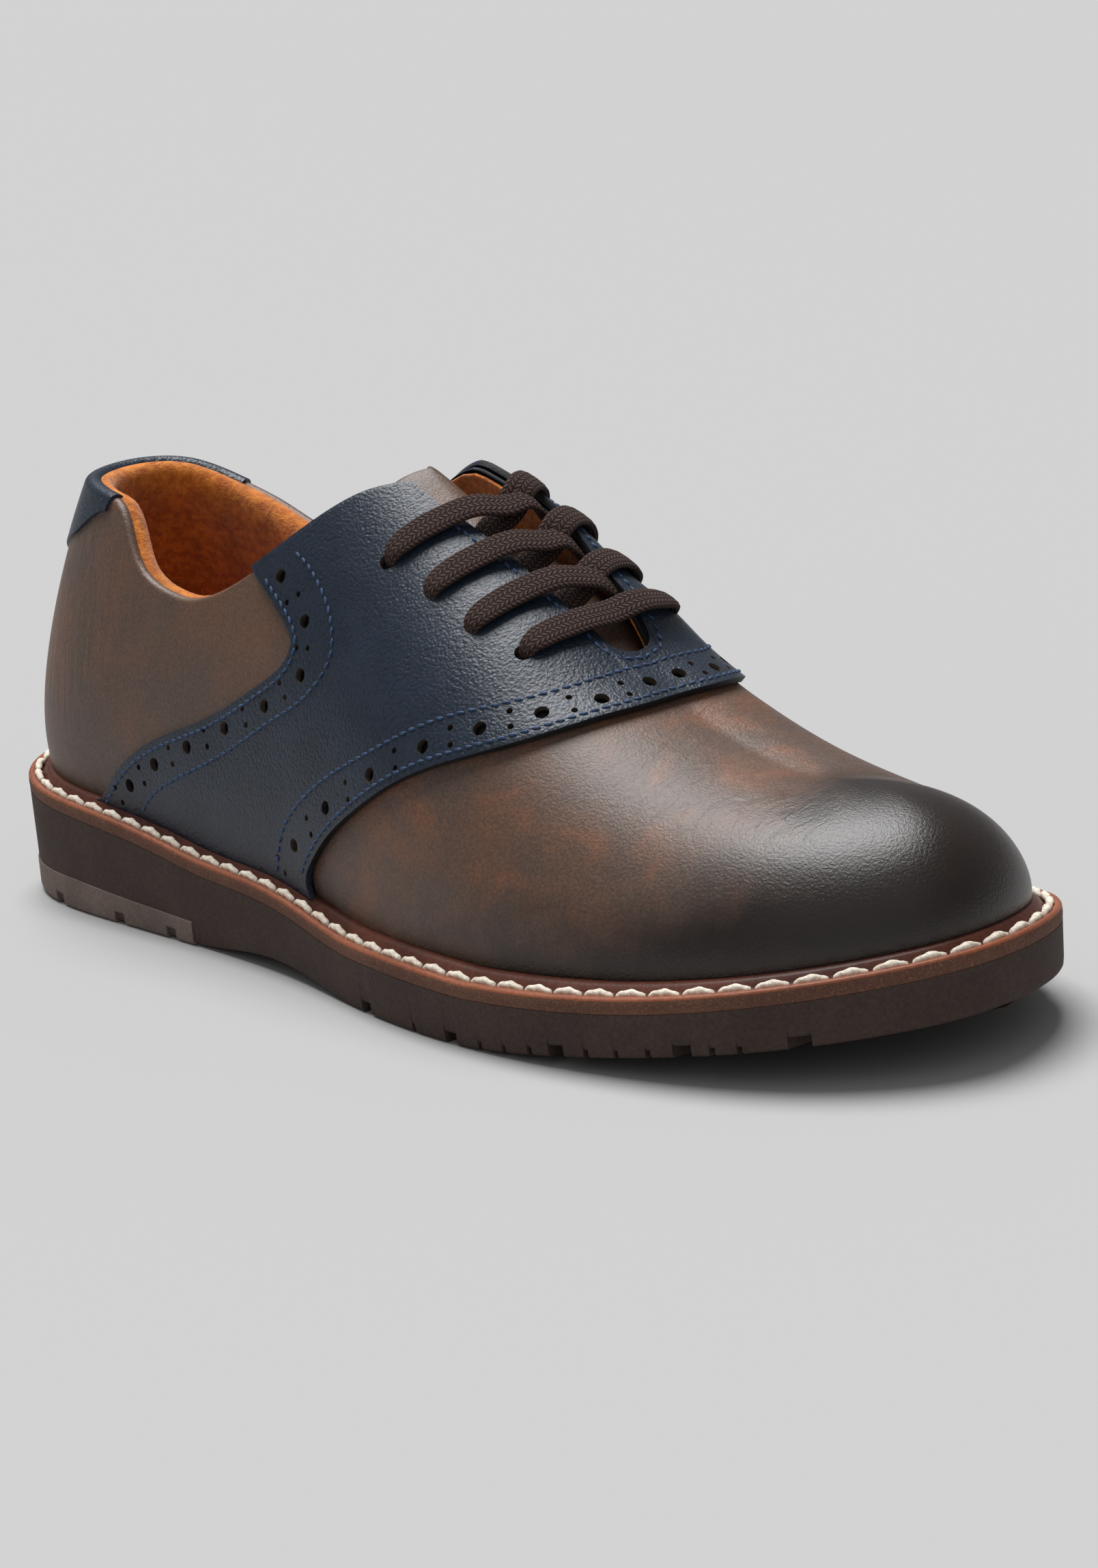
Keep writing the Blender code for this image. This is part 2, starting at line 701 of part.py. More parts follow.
def make_inlay(finish):
    """Harder block let into the back of the heel, with its own cuts."""
    end = INLAY_LENGTH / SOLE_LENGTH
    shares = [share for share in STATIONS if share < end] + [end]
    levels = (
        (SOLE_EDGE_DRAFT / 2, lambda along: INLAY_HEIGHT),
        (SOLE_EDGE_DRAFT, edge_bottom),
        (SOLE_EDGE_RADIUS, sole_bottom),
    )
    inlay = slab_object("heel_inlay", shares, levels, finish)
    cut(inlay, groove_cutter("inlay_grooves", [share * end for share in INLAY_GROOVES]))
    return inlay


def make_welt(finish):
    """Strip round the sole's edge, with a stitching groove and a lip against the leather."""
    profile = [(0.0, GAP)]
    for row in WELT_PROFILE:
        height = row.thickness * WELT_THICKNESS - row.groove * WELT_GROOVE + row.lip * WELT_LIP
        profile.append((row.across, height))
    profile.append((1.0, GAP))
    sections = []
    angles = np.concatenate([side_angle(STATIONS, LATERAL), side_angle(STATIONS[-2:0:-1], MEDIAL)])
    for angle in angles:
        along = float(outline(angle)[0])
        width = WELT_AT(along) * WELT_WIDTH - GAP
        base = float(sole_top(along))
        section = []
        for share, height in profile:
            _, x, y = outline(angle, share * width)
            section.append(np.array([x, y, base + height]))
        sections.append(section)
    return ring_object("welt", sections, finish)


def make_insole(finish):
    """Sock that lies on the sole inside the upper."""
    inner = [share for share in STATIONS if INSOLE_TIP < share < 1 - INSOLE_TIP]
    shares = [INSOLE_TIP] + inner + [1 - INSOLE_TIP]
    top = GAP + INSOLE_WALL
    levels = (
        (INSOLE_INSET + INSOLE_BEVEL, lambda along: sole_top(along) + top),
        (INSOLE_INSET, lambda along: sole_top(along) + top - INSOLE_BEVEL),
        (INSOLE_INSET, lambda along: sole_top(along) + GAP),
    )
    return slab_object("insole", shares, levels, finish)


def side_patch(side, depth):
    """One side of the upper at a depth: stations by rows, with a foot on the sole."""
    shares = np.array(STATIONS)
    climb = edge_climb(shares, side)[:, None] * np.array(UPPER_ROWS)
    skin = on_last(side_angle(shares, side)[:, None], climb, depth)
    foot = skin[:, :1].copy()
    foot[:, 0, 2] = sole_top(shares) + GAP
    return np.concatenate([foot, skin], axis=1)


def upper_depth():
    """Thickness of the upper by station and row, with the pad inside the collar."""
    near_edge = np.clip((np.array(UPPER_ROWS) - PAD_LOW) / (PAD_HIGH - PAD_LOW), 0, 1)
    swell = near_edge ** 2 * (3 - 2 * near_edge)
    return UPPER_WALL + COLLAR_PAD * pad_share(np.array(STATIONS))[:, None] * swell


def make_upper(finish, holes):
    """Vamp and quarters: one hollow wall, open at the collar, the throat and underneath."""
    wall = upper_depth()
    patches = [(side_patch(side, 0.0), side_patch(side, wall)) for side in (LATERAL, MEDIAL)]
    upper = wall_object("upper", patches, finish)
    cut(upper, holes)
    return upper


def saddle_start(rise, side):
    """Share along where the saddle starts: its back edge, the collar or the throat."""
    shares = np.linspace(COLLAR_DIP, THROAT_END, EDGE_SAMPLES)
    edge = np.maximum.accumulate(edge_climb(shares, side) / (np.pi / 2))
    free_edge = np.interp(rise, edge, shares)
    back = SADDLE_BACK_AT(rise)
    return np.where(rise > edge[0], np.maximum(back, free_edge), back)


def saddle_foot(along):
    """Climb of the saddle's lower edge, just over the welt's lip."""
    height = sole_top(along) + WELT_THICKNESS + WELT_LIP + 3 * GAP
    return climb_for_height(along, height)


def saddle_patch(side, depth):
    """One side of the saddle at a depth: rows of equal rise between its two edges."""
    rises = np.array(SADDLE_ROWS)
    start = saddle_start(rises, side)
    end = SADDLE_FRONT_AT(rises)
    columns = np.array(SADDLE_COLUMNS)
    shares = start[:, None] + (end - start)[:, None] * columns[None, :]
    climb = rises[:, None] * np.pi / 2 + np.zeros_like(shares)
    climb[0] = saddle_foot(shares[0])
    return on_last(side_angle(shares, side), climb, depth)


def make_saddle(finish, holes):
    """Saddle over the instep: both sides, joined over the ridge in front of the throat."""
    patches = []
    for side in (LATERAL, MEDIAL):
        outer = saddle_patch(side, -(GAP + SADDLE_WALL))
        inner = saddle_patch(side, -GAP)
        patches.append((outer, inner))
    saddle = wall_object("saddle", patches, finish)
    cut(saddle, holes)
    return saddle


def heel_collar_patch(side, end, depth):
    """One side of the heel collar: a band from its lower edge to just under the free edge."""
    shares = np.array([share for share in STATIONS if share < end] + [end])
    rows = np.linspace(0.0, 1.0, HEEL_COLLAR_ROWS)
    top = COLLAR_HEIGHT * COLLAR_AT[side](shares)
    low = top - HEEL_COLLAR_DROP * DROP_AT(shares * HEEL_COLLAR_LATERAL_END / end)
    heights = low[:, None] + (top - low)[:, None] * rows
    climb = climb_for_height(shares[:, None], heights)
    return on_last(side_angle(shares, side)[:, None], climb, depth)


def make_heel_collar(finish):
    """Strap of leather over the top of the heel."""
    patches = []
    for side, end in ((LATERAL, HEEL_COLLAR_LATERAL_END), (MEDIAL, HEEL_COLLAR_MEDIAL_END)):
        outer = heel_collar_patch(side, end, -(GAP + HEEL_COLLAR_WALL))
        inner = heel_collar_patch(side, end, -GAP)
        patches.append((outer, inner))
    return wall_object("heel_collar", patches, finish)


def tongue_patch(depth):
    """The tongue at a depth: rows from its root to its top, columns over the ridge."""
    rows = []
    for row in TONGUE:
        half = row.width * TONGUE_WIDTH / 2
        first = climb_for_width(row.along, LATERAL, half)
        last = np.pi - climb_for_width(row.along, MEDIAL, half)
        climb = np.linspace(first, last, TONGUE_COLUMNS)
        rows.append(on_last(turn(row.along), climb, depth))
    return np.array(rows)


def make_tongue(finish):
    """Tongue under the facings, past them at its top."""
    seat = UPPER_WALL + 2 * GAP
    return wall_object("tongue", [(tongue_patch(seat), tongue_patch(seat + TONGUE_WALL))], finish)


def lace_path(eyelet, side, table, lift):
    """Points and outward directions of a lace that leaves an eyelet across the throat."""
    points = []
    normals = []
    for row in table:
        where = -side if row.crossed else side
        along = eyelet.along + row.step
        angle = side_angle(along, where)
        height = GAP + SADDLE_WALL + GAP + getattr(row, lift) * LACE_THICKNESS
        climb = row.rise * np.pi / 2
        points.append(on_last(angle, climb, -height))
        normals.append(last_normal(angle, np.asarray(climb)))
    return np.array(points), np.array(normals)


def lace_object(name, path, finish):
    """Flat lace along a path, with closed ends."""
    points, normals = path
    bm = bmesh.new()
    loops = []
    turns = np.linspace(0, 2 * np.pi, LACE_SIDES, endpoint=False) + np.pi / LACE_SIDES
    for i, point in enumerate(points):
        before = points[max(i - 1, 0)]
        after = points[min(i + 1, len(points) - 1)]
        run = (after - before) / np.linalg.norm(after - before)
        across = np.cross(run, normals[i])
        across = across / np.linalg.norm(across)
        up = np.cross(across, run)
        loop = []
        for angle in turns:
            aside = across * np.cos(angle) * LACE_WIDTH / 2
            over = up * np.sin(angle) * LACE_THICKNESS / 2
            loop.append(bm.verts.new(point + aside + over - CENTRE))
        loops.append(loop)
    for first, second in zip(loops, loops[1:]):
        for j in range(LACE_SIDES):
            k = (j + 1) % LACE_SIDES
            bm.faces.new([first[j], second[j], second[k], first[k]])
    bm.faces.new(loops[0])
    bm.faces.new(reversed(loops[-1]))
    return add_object(name, bm, finish)


def make_laces(finish):
    """Three crossings and the bar at the throat's end."""
    for number, eyelet in enumerate(EYELETS[:-1], start=1):
        over_path = lace_path(eyelet, LATERAL, CROSSING, "over")
        under_path = lace_path(eyelet, MEDIAL, CROSSING, "under")
        over = lace_object("lace_row_%d" % number, over_path, finish)
        under = lace_object("lace_under_%d" % number, under_path, None)
        under.hide_render = True
        under.display_type = "WIRE"
        join(over, under)
    lace_object("lace_bar", lace_path(EYELETS[-1], LATERAL, BAR, "over"), finish)


def make_eyelet_cutter():
    """Pins through the facings, one for each eyelet."""
    bm = bmesh.new()
    reach = UPPER_WALL + SADDLE_WALL + 2 * GAP
    for side in (LATERAL, MEDIAL):
        for eyelet in EYELETS:
            angle = side_angle(eyelet.along, side)
            climb = np.asarray(eyelet.rise * np.pi / 2)
            axis = last_normal(angle, climb)
            centre = on_last(angle, climb, (UPPER_WALL - SADDLE_WALL) / 2) - CENTRE
            made = bmesh.ops.create_cone(
                bm,
                cap_ends=True,
                segments=EYELET_SIDES,
                radius1=EYELET_BORE / 2,
                radius2=EYELET_BORE / 2,
                depth=2 * reach,
            )["verts"]
            side_axis = np.cross(axis, (1.0, 0.0, 0.0))
            side_axis = side_axis / np.linalg.norm(side_axis)
            frame = np.stack([np.cross(side_axis, axis), side_axis, axis], axis=1)
            for vertex in made:
                vertex.co = frame @ np.array(vertex.co) + centre
    return cutter("eyelet_pins", bm)


def main():
    """Build every piece of the shoe."""
    clear_scene()
    brown = material("brown_leather", (0.115, 0.062, 0.040), 0.45)
    navy = material("navy_leather", (0.022, 0.032, 0.055), 0.45)
    rubber = material("brown_rubber", (0.030, 0.020, 0.016), 0.75)
    tan = material("tan_welt", (0.240, 0.085, 0.045), 0.5)
    heel = material("heel_rubber", (0.075, 0.050, 0.038), 0.7)
    suede = material("orange_suede", (0.480, 0.170, 0.035), 0.9)
    cord = material("brown_lace", (0.055, 0.030, 0.024), 0.85)
    make_outsole(rubber)
    make_inlay(heel)
    make_welt(tan)
    make_insole(suede)
    holes = make_eyelet_cutter()
    make_upper(brown, holes)
    make_saddle(navy, holes)
    make_heel_collar(navy)
    make_tongue(brown)
    make_laces(cord)


main()
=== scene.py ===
"""Visual scene of a saddle shoe for the right foot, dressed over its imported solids.

Lengths are metres. A place on the shoe is a share along the sole, from 0 at the heel's back to 1 at
the toe's tip, and a rise from 0 at the feather edge to 1 at the ridge over the foot, on the lateral
(little toe) or the medial (big toe) side. The sizes below repeat those of the solids.
"""
import logging
from dataclasses import dataclass
from enum import Enum
from typing import Callable, Optional, Sequence

import bmesh
import bpy
import numpy as np
from mathutils import Matrix, Vector


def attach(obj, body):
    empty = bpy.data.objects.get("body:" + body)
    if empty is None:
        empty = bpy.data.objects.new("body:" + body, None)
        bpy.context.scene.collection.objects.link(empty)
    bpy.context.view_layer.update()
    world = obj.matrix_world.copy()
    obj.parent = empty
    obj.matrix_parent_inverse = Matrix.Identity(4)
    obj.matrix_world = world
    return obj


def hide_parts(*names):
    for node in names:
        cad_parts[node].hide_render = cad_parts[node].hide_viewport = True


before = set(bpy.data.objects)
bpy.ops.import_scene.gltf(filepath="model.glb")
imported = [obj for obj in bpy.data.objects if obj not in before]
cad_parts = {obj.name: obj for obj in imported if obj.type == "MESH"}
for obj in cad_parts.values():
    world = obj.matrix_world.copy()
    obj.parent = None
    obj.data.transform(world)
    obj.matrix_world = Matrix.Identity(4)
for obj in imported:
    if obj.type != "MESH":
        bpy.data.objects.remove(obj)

LOG = logging.getLogger("saddle_shoe")
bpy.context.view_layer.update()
MM = 0.001
RIDGE = np.pi / 2
TIP_SHARE = 0.02
Array = np.ndarray
Mesh = bmesh.types.BMesh
Socket = bpy.types.NodeSocket
Material = bpy.types.Material


class Side(Enum):
    """Side of the foot."""

    LATERAL = -1
    MEDIAL = 1


class Curve:
    """Smooth curve through a table's points, straight past its ends, or closed round."""

    def __init__(self, places: Sequence[float], values: Sequence[float], closed: bool = False) -> None:
        """Solve the curve's bends.

        Args:
            places: Rising positions of the points.
            values: Value at each position; it may be a vector.
            closed: Whether the curve comes back to its start.
        """
        self.x = np.asarray(places, float)
        self.y = np.asarray(values, float)
        self.closed = closed
        step = np.diff(self.x)
        wide = step.reshape([-1] + [1] * (self.y.ndim - 1))
        slope = np.diff(self.y, axis=0) / wide
        count = len(self.x)
        matrix = np.zeros((count, count))
        right = np.zeros(self.y.shape)
        for i in range(1, count - 1):
            matrix[i, i - 1:i + 2] = step[i - 1], 2 * (step[i - 1] + step[i]), step[i]
            right[i] = 6 * (slope[i] - slope[i - 1])
        if closed:
            matrix[0, [0, -1]] = 1.0, -1.0
            matrix[-1, [0, 1]] = 2 * step[0], step[0]
            matrix[-1, [-2, -1]] = step[-1], 2 * step[-1]
            right[-1] = 6 * (slope[0] - slope[-1])
        else:
            matrix[0, 0] = matrix[-1, -1] = 1.0
        self.bend = np.linalg.solve(matrix, right)
        self.first = slope[0] - wide[0] * (2 * self.bend[0] + self.bend[1]) / 6
        self.last = slope[-1] + wide[-1] * (self.bend[-2] + 2 * self.bend[-1]) / 6

    def __call__(self, place: Array) -> Array:
        """Value of the curve.

        Args:
            place: Positions, of any shape.

        Returns:
            The values there.
        """
        place = np.asarray(place, float)
        x, y, bend = self.x, self.y, self.bend
        if self.closed:
            place = x[0] + np.mod(place - x[0], x[-1] - x[0])
        i = np.clip(np.searchsorted(x, place, side="right") - 1, 0, len(x) - 2)
        grow = (...,) + (None,) * (y.ndim - 1)
        step = (x[i + 1] - x[i])[grow]
        a = (x[i + 1] - place)[grow] / step
        b = (place - x[i])[grow] / step
        value = a * y[i] + b * y[i + 1]
        value = value + ((a ** 3 - a) * bend[i] + (b ** 3 - b) * bend[i + 1]) * step ** 2 / 6
        if self.closed:
            return value
        before = y[0] + self.first * (place - x[0])[grow]
        after = y[-1] + self.last * (place - x[-1])[grow]
        value = np.where((place < x[0])[grow], before, value)
        return np.where((place > x[-1])[grow], after, value)


def ease(value: Array, low: float, high: float) -> Array:
    """Smooth step.

    Args:
        value: Values to map.
        low: Value that gives 0.
        high: Value that gives 1.

    Returns:
        Shares from 0 to 1.
    """
    share = np.clip((np.asarray(value, float) - low) / (high - low), 0, 1)
    return share * share * (3 - 2 * share)


def turn(share: Array) -> Array:
    """Angle round the outline, from 0 at the heel's back to pi at the toe's tip."""
    return np.arccos(np.clip(1 - 2 * np.asarray(share, float), -1, 1))


def band(value: Array, start: float, full: float, fade: float, end: float) -> Array:
    """1 between full and fade, 0 before start and past end, smooth between."""
    return ease(value, start, full) * (1 - ease(value, fade, end))


def columns(table: Sequence[Sequence[float]], *picked: int) -> list[list[float]]:
    """Columns of a table as lists."""
    return [[row[i] for row in table] for i in picked]


def crowded(count: int, margin: float = 0.0) -> Array:
    """Shares from 0 to 1, close together at both ends; a margin in radians leaves the tips out."""
    return (1 - np.cos(np.linspace(margin, np.pi - margin, count))) / 2


def unit(rows: Array) -> Array:
    """Vectors of length one."""
    return rows / np.linalg.norm(rows, axis=-1, keepdims=True)


def run_length(points: Array) -> Array:
    """Distance gone along a line at each of its points."""
    return np.concatenate([[0], np.cumsum(np.linalg.norm(np.diff(points, axis=0), axis=1))])


@dataclass
class Last:
    """Surface that the leather follows, and the plan of the sole under it.

    Attributes:
        outline_rows: share along, lateral and medial half width, both of the ball's width.
        wedge_rows: share along and the sole's thickness between the forefoot's and the heel's.
        ridge_rows: share along and the ridge's height between the toe's and the instep's.
        section_rows: share along, lean, powers across and up, bulge and welt.
        collar_rows: share along, lateral and medial height of the collar.
        saddle_front: rise and share along of the saddle's front edge.
        saddle_back: rise and share along of the saddle's back edge.
        stand_along, stand_rise: bands where the medial facing stands off the last.
        sink_along, sink_medial, sink_lateral: band and windows where the vamp's top sinks.
    """

    length: float = 0.305
    ball: float = 0.1095
    waist: float = 0.0765
    heel: float = 0.077
    heel_stack: float = 0.0255
    fore_stack: float = 0.0107
    arch_rise: float = 0.0028
    toe_spring: float = 0.0118
    heel_bevel: float = 0.0022
    welt_width: float = 0.0070
    welt_wall: float = 0.0035
    instep_height: float = 0.095
    toe_height: float = 0.0515
    collar_height: float = 0.1015
    throat_top: float = 0.0170
    throat_foot: float = 0.0110
    throat_start: float = 0.443
    throat_end: float = 0.676
    side_bulge: float = 0.0026
    corner: float = 0.22
    throat_round: float = 0.022
    collar_only: float = 0.25
    painted_from: float = 0.455
    behind_rise: float = 0.501
    flare: float = 0.0055
    sink: float = 0.0018
    bevel_end: float = 0.12
    arch_start: float = 0.28
    arch_span: float = 0.25
    spring_start: float = 0.66
    spring_span: float = 0.34
    ridge_start: float = 0.197
    ridge_span: float = 0.682
    bulge_peak: float = 0.22
    tip_offset: float = 0.018
    step: float = 0.02
    stand_along: tuple = (0.345, 0.42, 0.62, 0.672)
    stand_rise: tuple = (0.55, 0.86, 0.94, 1.0)
    sink_along: tuple = (0.60, 0.70, 0.90, 0.97)
    sink_medial: tuple = (0.15, 0.80)
    sink_lateral: tuple = (0.40, 1.00)
    outline_rows: tuple = (
        (0.025, 0.325, 0.312, "heel"), (0.10, 0.487, 0.468, "heel"), (0.20, 0.520, 0.480, "heel"),
        (0.32, 0.543, 0.455, "waist"), (0.45, 0.420, 0.356, "ball"), (0.56, 0.480, 0.441, "ball"),
        (0.68, 0.502, 0.498, "ball"), (0.80, 0.457, 0.479, "ball"), (0.90, 0.356, 0.415, "ball"),
        (0.97, 0.196, 0.269, "ball"),
    )
    wedge_rows: tuple = (
        (0.00, 1.00), (0.12, 0.90), (0.25, 0.65), (0.40, 0.17), (0.55, 0.05), (0.68, 0.01),
        (0.80, -0.08), (0.90, -0.07), (1.00, -0.02),
    )
    ridge_rows: tuple = (
        (0.00, 1.87), (0.20, 1.97), (0.295, 1.83), (0.377, 1.60), (0.459, 1.33), (0.541, 1.00),
        (0.623, 0.64), (0.705, 0.28), (0.787, 0.07), (0.869, 0.00), (0.934, 0.00), (0.984, 0.01),
    )
    section_rows: tuple = (
        (0.00, 0.036, 1.95, 1.45, 1.00, 0.89), (0.25, 0.036, 2.20, 1.75, 0.62, 1.00),
        (0.50, 0.040, 2.35, 1.95, 0.42, 1.00), (0.75, 0.050, 2.20, 2.05, 0.31, 1.20),
        (1.00, 0.070, 2.20, 2.30, 0.31, 0.84),
    )
    collar_rows: tuple = (
        (0.000, 1.000, 1.000), (0.030, 0.996, 0.984), (0.060, 0.990, 0.960), (0.090, 0.981, 0.934),
        (0.120, 0.965, 0.910), (0.145, 0.918, 0.889), (0.170, 0.852, 0.865), (0.200, 0.805, 0.838),
        (0.230, 0.785, 0.812), (0.255, 0.781, 0.802), (0.280, 0.799, 0.808), (0.307, 0.837, 0.840),
        (0.335, 0.893, 0.893), (0.365, 0.966, 0.966), (0.388, 1.025, 1.025), (0.410, 1.055, 1.055),
        (0.443, 1.062, 1.062),
    )
    saddle_front: tuple = (
        (0.000, 0.448), (0.042, 0.444), (0.083, 0.454), (0.145, 0.476), (0.244, 0.521),
        (0.354, 0.576), (0.478, 0.637), (0.618, 0.684), (0.760, 0.713), (0.899, 0.731),
        (1.000, 0.737),
    )
    saddle_back: tuple = (
        (0.000, 0.150), (0.035, 0.166), (0.108, 0.197), (0.169, 0.239), (0.238, 0.303),
        (0.323, 0.363), (0.377, 0.390), (0.414, 0.397), (0.445, 0.391), (0.466, 0.374),
        (0.501, 0.337),
    )

    def __post_init__(self) -> None:
        """Turn the tables into curves."""
        widths = {"heel": self.heel, "waist": self.waist, "ball": self.ball}
        angles = [float(turn(row[0])) for row in self.outline_rows]
        lateral = [-row[1] * widths[row[3]] for row in self.outline_rows]
        medial = [row[2] * widths[row[3]] for row in self.outline_rows]
        places = [0.0] + angles + [np.pi] + [2 * np.pi - a for a in reversed(angles)] + [2 * np.pi]
        values = [0.0] + lateral + [self.tip_offset * self.ball] + medial[::-1] + [0.0]
        self.width_at = Curve(places, values, closed=True)
        self.wedge_at = Curve(*columns(self.wedge_rows, 0, 1))
        self.rise_at = Curve(*columns(self.ridge_rows, 0, 1))
        self.lean, self.across, self.up, self.bulge, self.welt_share = (
            Curve(*columns(self.section_rows, 0, i)) for i in range(1, 6))
        self.collar = {Side.LATERAL: Curve(*columns(self.collar_rows, 0, 1)),
                       Side.MEDIAL: Curve(*columns(self.collar_rows, 0, 2))}
        self.front_at = Curve(*columns(self.saddle_front, 0, 1))
        self.back_at = Curve(*columns(self.saddle_back, 0, 1))
        x, y = self.outline(np.linspace(0, 2 * np.pi, 721))[1:]
        self.centre = np.array([(x.min() + x.max()) / 2, (y.min() + y.max()) / 2, 0.0])

    def outline(self, angle: Array, inset: Array = 0.0) -> tuple[Array, Array, Array]:
        """Plan of the sole.

        Args:
            angle: Angles round the outline.
            inset: Distance inwards from it.

        Returns:
            Share along, x and y.
        """
        half, step = self.length / 2, self.step
        x = half * (1 - np.cos(angle))
        y = self.width_at(angle)
        dx = half * (np.cos(angle - step) - np.cos(angle + step))
        dy = self.width_at(angle + step) - self.width_at(angle - step)
        size = np.hypot(dx, dy)
        return x / self.length, x - inset * dy / size, y + inset * dx / size

    def tread(self, share: Array) -> Array:
        """Height of the sole's underside."""
        share = np.asarray(share, float)
        bevel = self.heel_bevel * np.clip(1 - share / self.bevel_end, 0, 1) ** 2
        arch = np.clip((share - self.arch_start) / self.arch_span, 0, 1)
        spring = np.clip((share - self.spring_start) / self.spring_span, 0, 1) ** 1.25
        return bevel + self.arch_rise * np.sin(np.pi * arch) ** 2 + self.toe_spring * spring

    def deck(self, share: Array) -> Array:
        """Height of the sole under the welt."""
        stack = self.fore_stack + (self.heel_stack - self.fore_stack) * self.wedge_at(share)
        return self.tread(np.clip(share, 0, 1)) + stack

    def ridge(self, share: Array) -> tuple[Array, Array, Array, Array]:
        """Share, x, y and z of the ridge where the section of a share ends."""
        far = self.ridge_start + self.ridge_span * share
        z = self.toe_height + (self.instep_height - self.toe_height) * self.rise_at(far)
        return far, far * self.length, self.lean(far) * self.ball, z

    def folded(self, angle: Array, climb: Array) -> tuple[Array, Array]:
        """Angle and climb, with a climb past the ridge put on the other side."""
        angle, climb = np.broadcast_arrays(np.asarray(angle, float), np.asarray(climb, float))
        past = climb > RIDGE
        return np.where(past, 2 * np.pi - angle, angle), np.where(past, np.pi - climb, climb)

    def skin(self, angle: Array, climb: Array) -> Array:
        """Point on the surface, with the heel's back at x = 0.

        Args:
            angle: Angle round the outline.
            climb: 0 at the feather edge, half pi at the ridge, more on the other side.

        Returns:
            Points, with one more axis than the inputs.
        """
        angle, climb = self.folded(angle, climb)
        share, edge_x, edge_y = self.outline(angle)
        welt = self.welt_share(share) * self.welt_width
        _, foot_x, foot_y = self.outline(angle, welt)
        _, ridge_x, ridge_y, ridge_z = self.ridge(share)
        across = np.maximum(np.cos(climb), 0) ** (2 / self.across(share))
        up = np.maximum(np.sin(climb), 0) ** (2 / self.up(share))
        peak = up / self.bulge_peak
        swell = self.side_bulge * self.bulge(share) * across * peak * np.exp(1 - peak)
        foot_z = self.deck(share) + self.welt_wall
        x = ridge_x + (foot_x - ridge_x) * across + (edge_x - foot_x) / welt * swell
        y = ridge_y + (foot_y - ridge_y) * across + (edge_y - foot_y) / welt * swell
        return np.stack([x, y, foot_z + (ridge_z - foot_z) * up], axis=-1)

    def one_normal(self, angle: Array, climb: Array) -> Array:
        """Outward direction on one side."""
        step = self.step
        run = self.skin(angle + step, climb) - self.skin(angle - step, climb)
        lift = self.skin(angle, climb + step) - self.skin(angle, np.maximum(climb - step, 0.0))
        return unit(np.cross(run, lift))

    def normal(self, angle: Array, climb: Array) -> Array:
        """Outward direction, shared by both sides at the ridge."""
        angle, climb = self.folded(angle, climb)
        top = RIDGE - self.step
        share = np.clip((climb - top) / self.step, 0, 1)[..., None] / 2
        climb = np.minimum(climb, top)
        here, there = self.one_normal(angle, climb), self.one_normal(2 * np.pi - angle, climb)
        return unit(here * (1 - share) + there * share)

    def angle(self, share: Array, side: Side) -> Array:
        """Angle round the outline of a share along on one side."""
        return turn(share) if side is Side.LATERAL else 2 * np.pi - turn(share)

    def place(self, angle: Array, climb: Array, depth: Array = 0.0) -> Array:
        """Point in the shoe's frame at a depth under the surface, or over it where negative."""
        angle, climb = np.broadcast_arrays(np.asarray(angle, float), np.asarray(climb, float))
        deep = (np.asarray(depth, float) - self.lift(angle, climb))[..., None]
        return self.skin(angle, climb) - self.normal(angle, climb) * deep - self.centre

    def lift(self, angle: Array, climb: Array) -> Array:
        """Height over the last: the medial facing stands up, the top of the vamp sinks a little.

        Args:
            angle: Angles round the outline.
            climb: Climbs, of the same shape.

        Returns:
            Heights in metres.
        """
        share, rise = (1 - np.cos(angle)) / 2, climb / RIDGE
        medial = (angle > np.pi) == (rise <= 1 + 1e-9)
        rise = np.where(rise > 1, 2 - rise, rise)
        along = band(share, *self.stand_along) * (1 - 0.55 * ease(share, 0.50, 0.60))
        stand = self.flare * medial * along * band(rise, *self.stand_rise)
        fall = np.where(medial, ease(rise, *self.sink_medial), ease(rise, *self.sink_lateral))
        return stand - self.sink * band(share, *self.sink_along) * fall

    def spot(self, share: Array, rise: Array, side: Side, depth: Array = 0.0) -> Array:
        """Point in the shoe's frame at a share, a rise and a depth; a rise past 1 is on the other side."""
        return self.place(self.angle(share, side), np.asarray(rise, float) * RIDGE, depth)

    def climb_at_height(self, share: Array, height: Array) -> Array:
        """Climb at which the surface reaches a height."""
        foot = self.deck(share) + self.welt_wall
        up = np.clip((height - foot) / (self.ridge(share)[3] - foot), 0.0, 1.0)
        return np.arcsin(up ** (self.up(share) / 2))

    def climb_at_width(self, share: Array, side: Side, half: Array) -> Array:
        """Climb at which the surface is half a width to the side of its ridge."""
        foot_y = self.outline(self.angle(share, side), self.welt_share(share) * self.welt_width)[2]
        reach = np.abs(foot_y - self.ridge(share)[2])
        across = np.clip(half / np.maximum(reach, half), 0.0, 1.0)
        return np.arccos(across ** (self.across(share) / 2))

    def edge(self, share: Array, side: Side) -> Array:
        """Climb of the free edge: the collar, then the throat, then the closed ridge."""
        share = np.asarray(share, float)
        collar = self.climb_at_height(share, self.collar_height * self.collar[side](share))
        down = np.clip((share - self.throat_start) / (self.throat_end - self.throat_start), 0, 1)
        half = (self.throat_top + (self.throat_foot - self.throat_top) * down) / 2
        end = np.clip((self.throat_end - share) / self.throat_round, 0, 1)
        throat = self.climb_at_width(share, side, half * np.sqrt(1 - (1 - end) ** 2))
        apart = np.clip(0.5 + (throat - collar) / (2 * self.corner), 0, 1)
        rounded = throat + (collar - throat) * apart - self.corner * apart * (1 - apart)
        facing = np.where(share < self.throat_start + 0.02, rounded, throat)
        return np.where(share < self.collar_only, collar, facing)

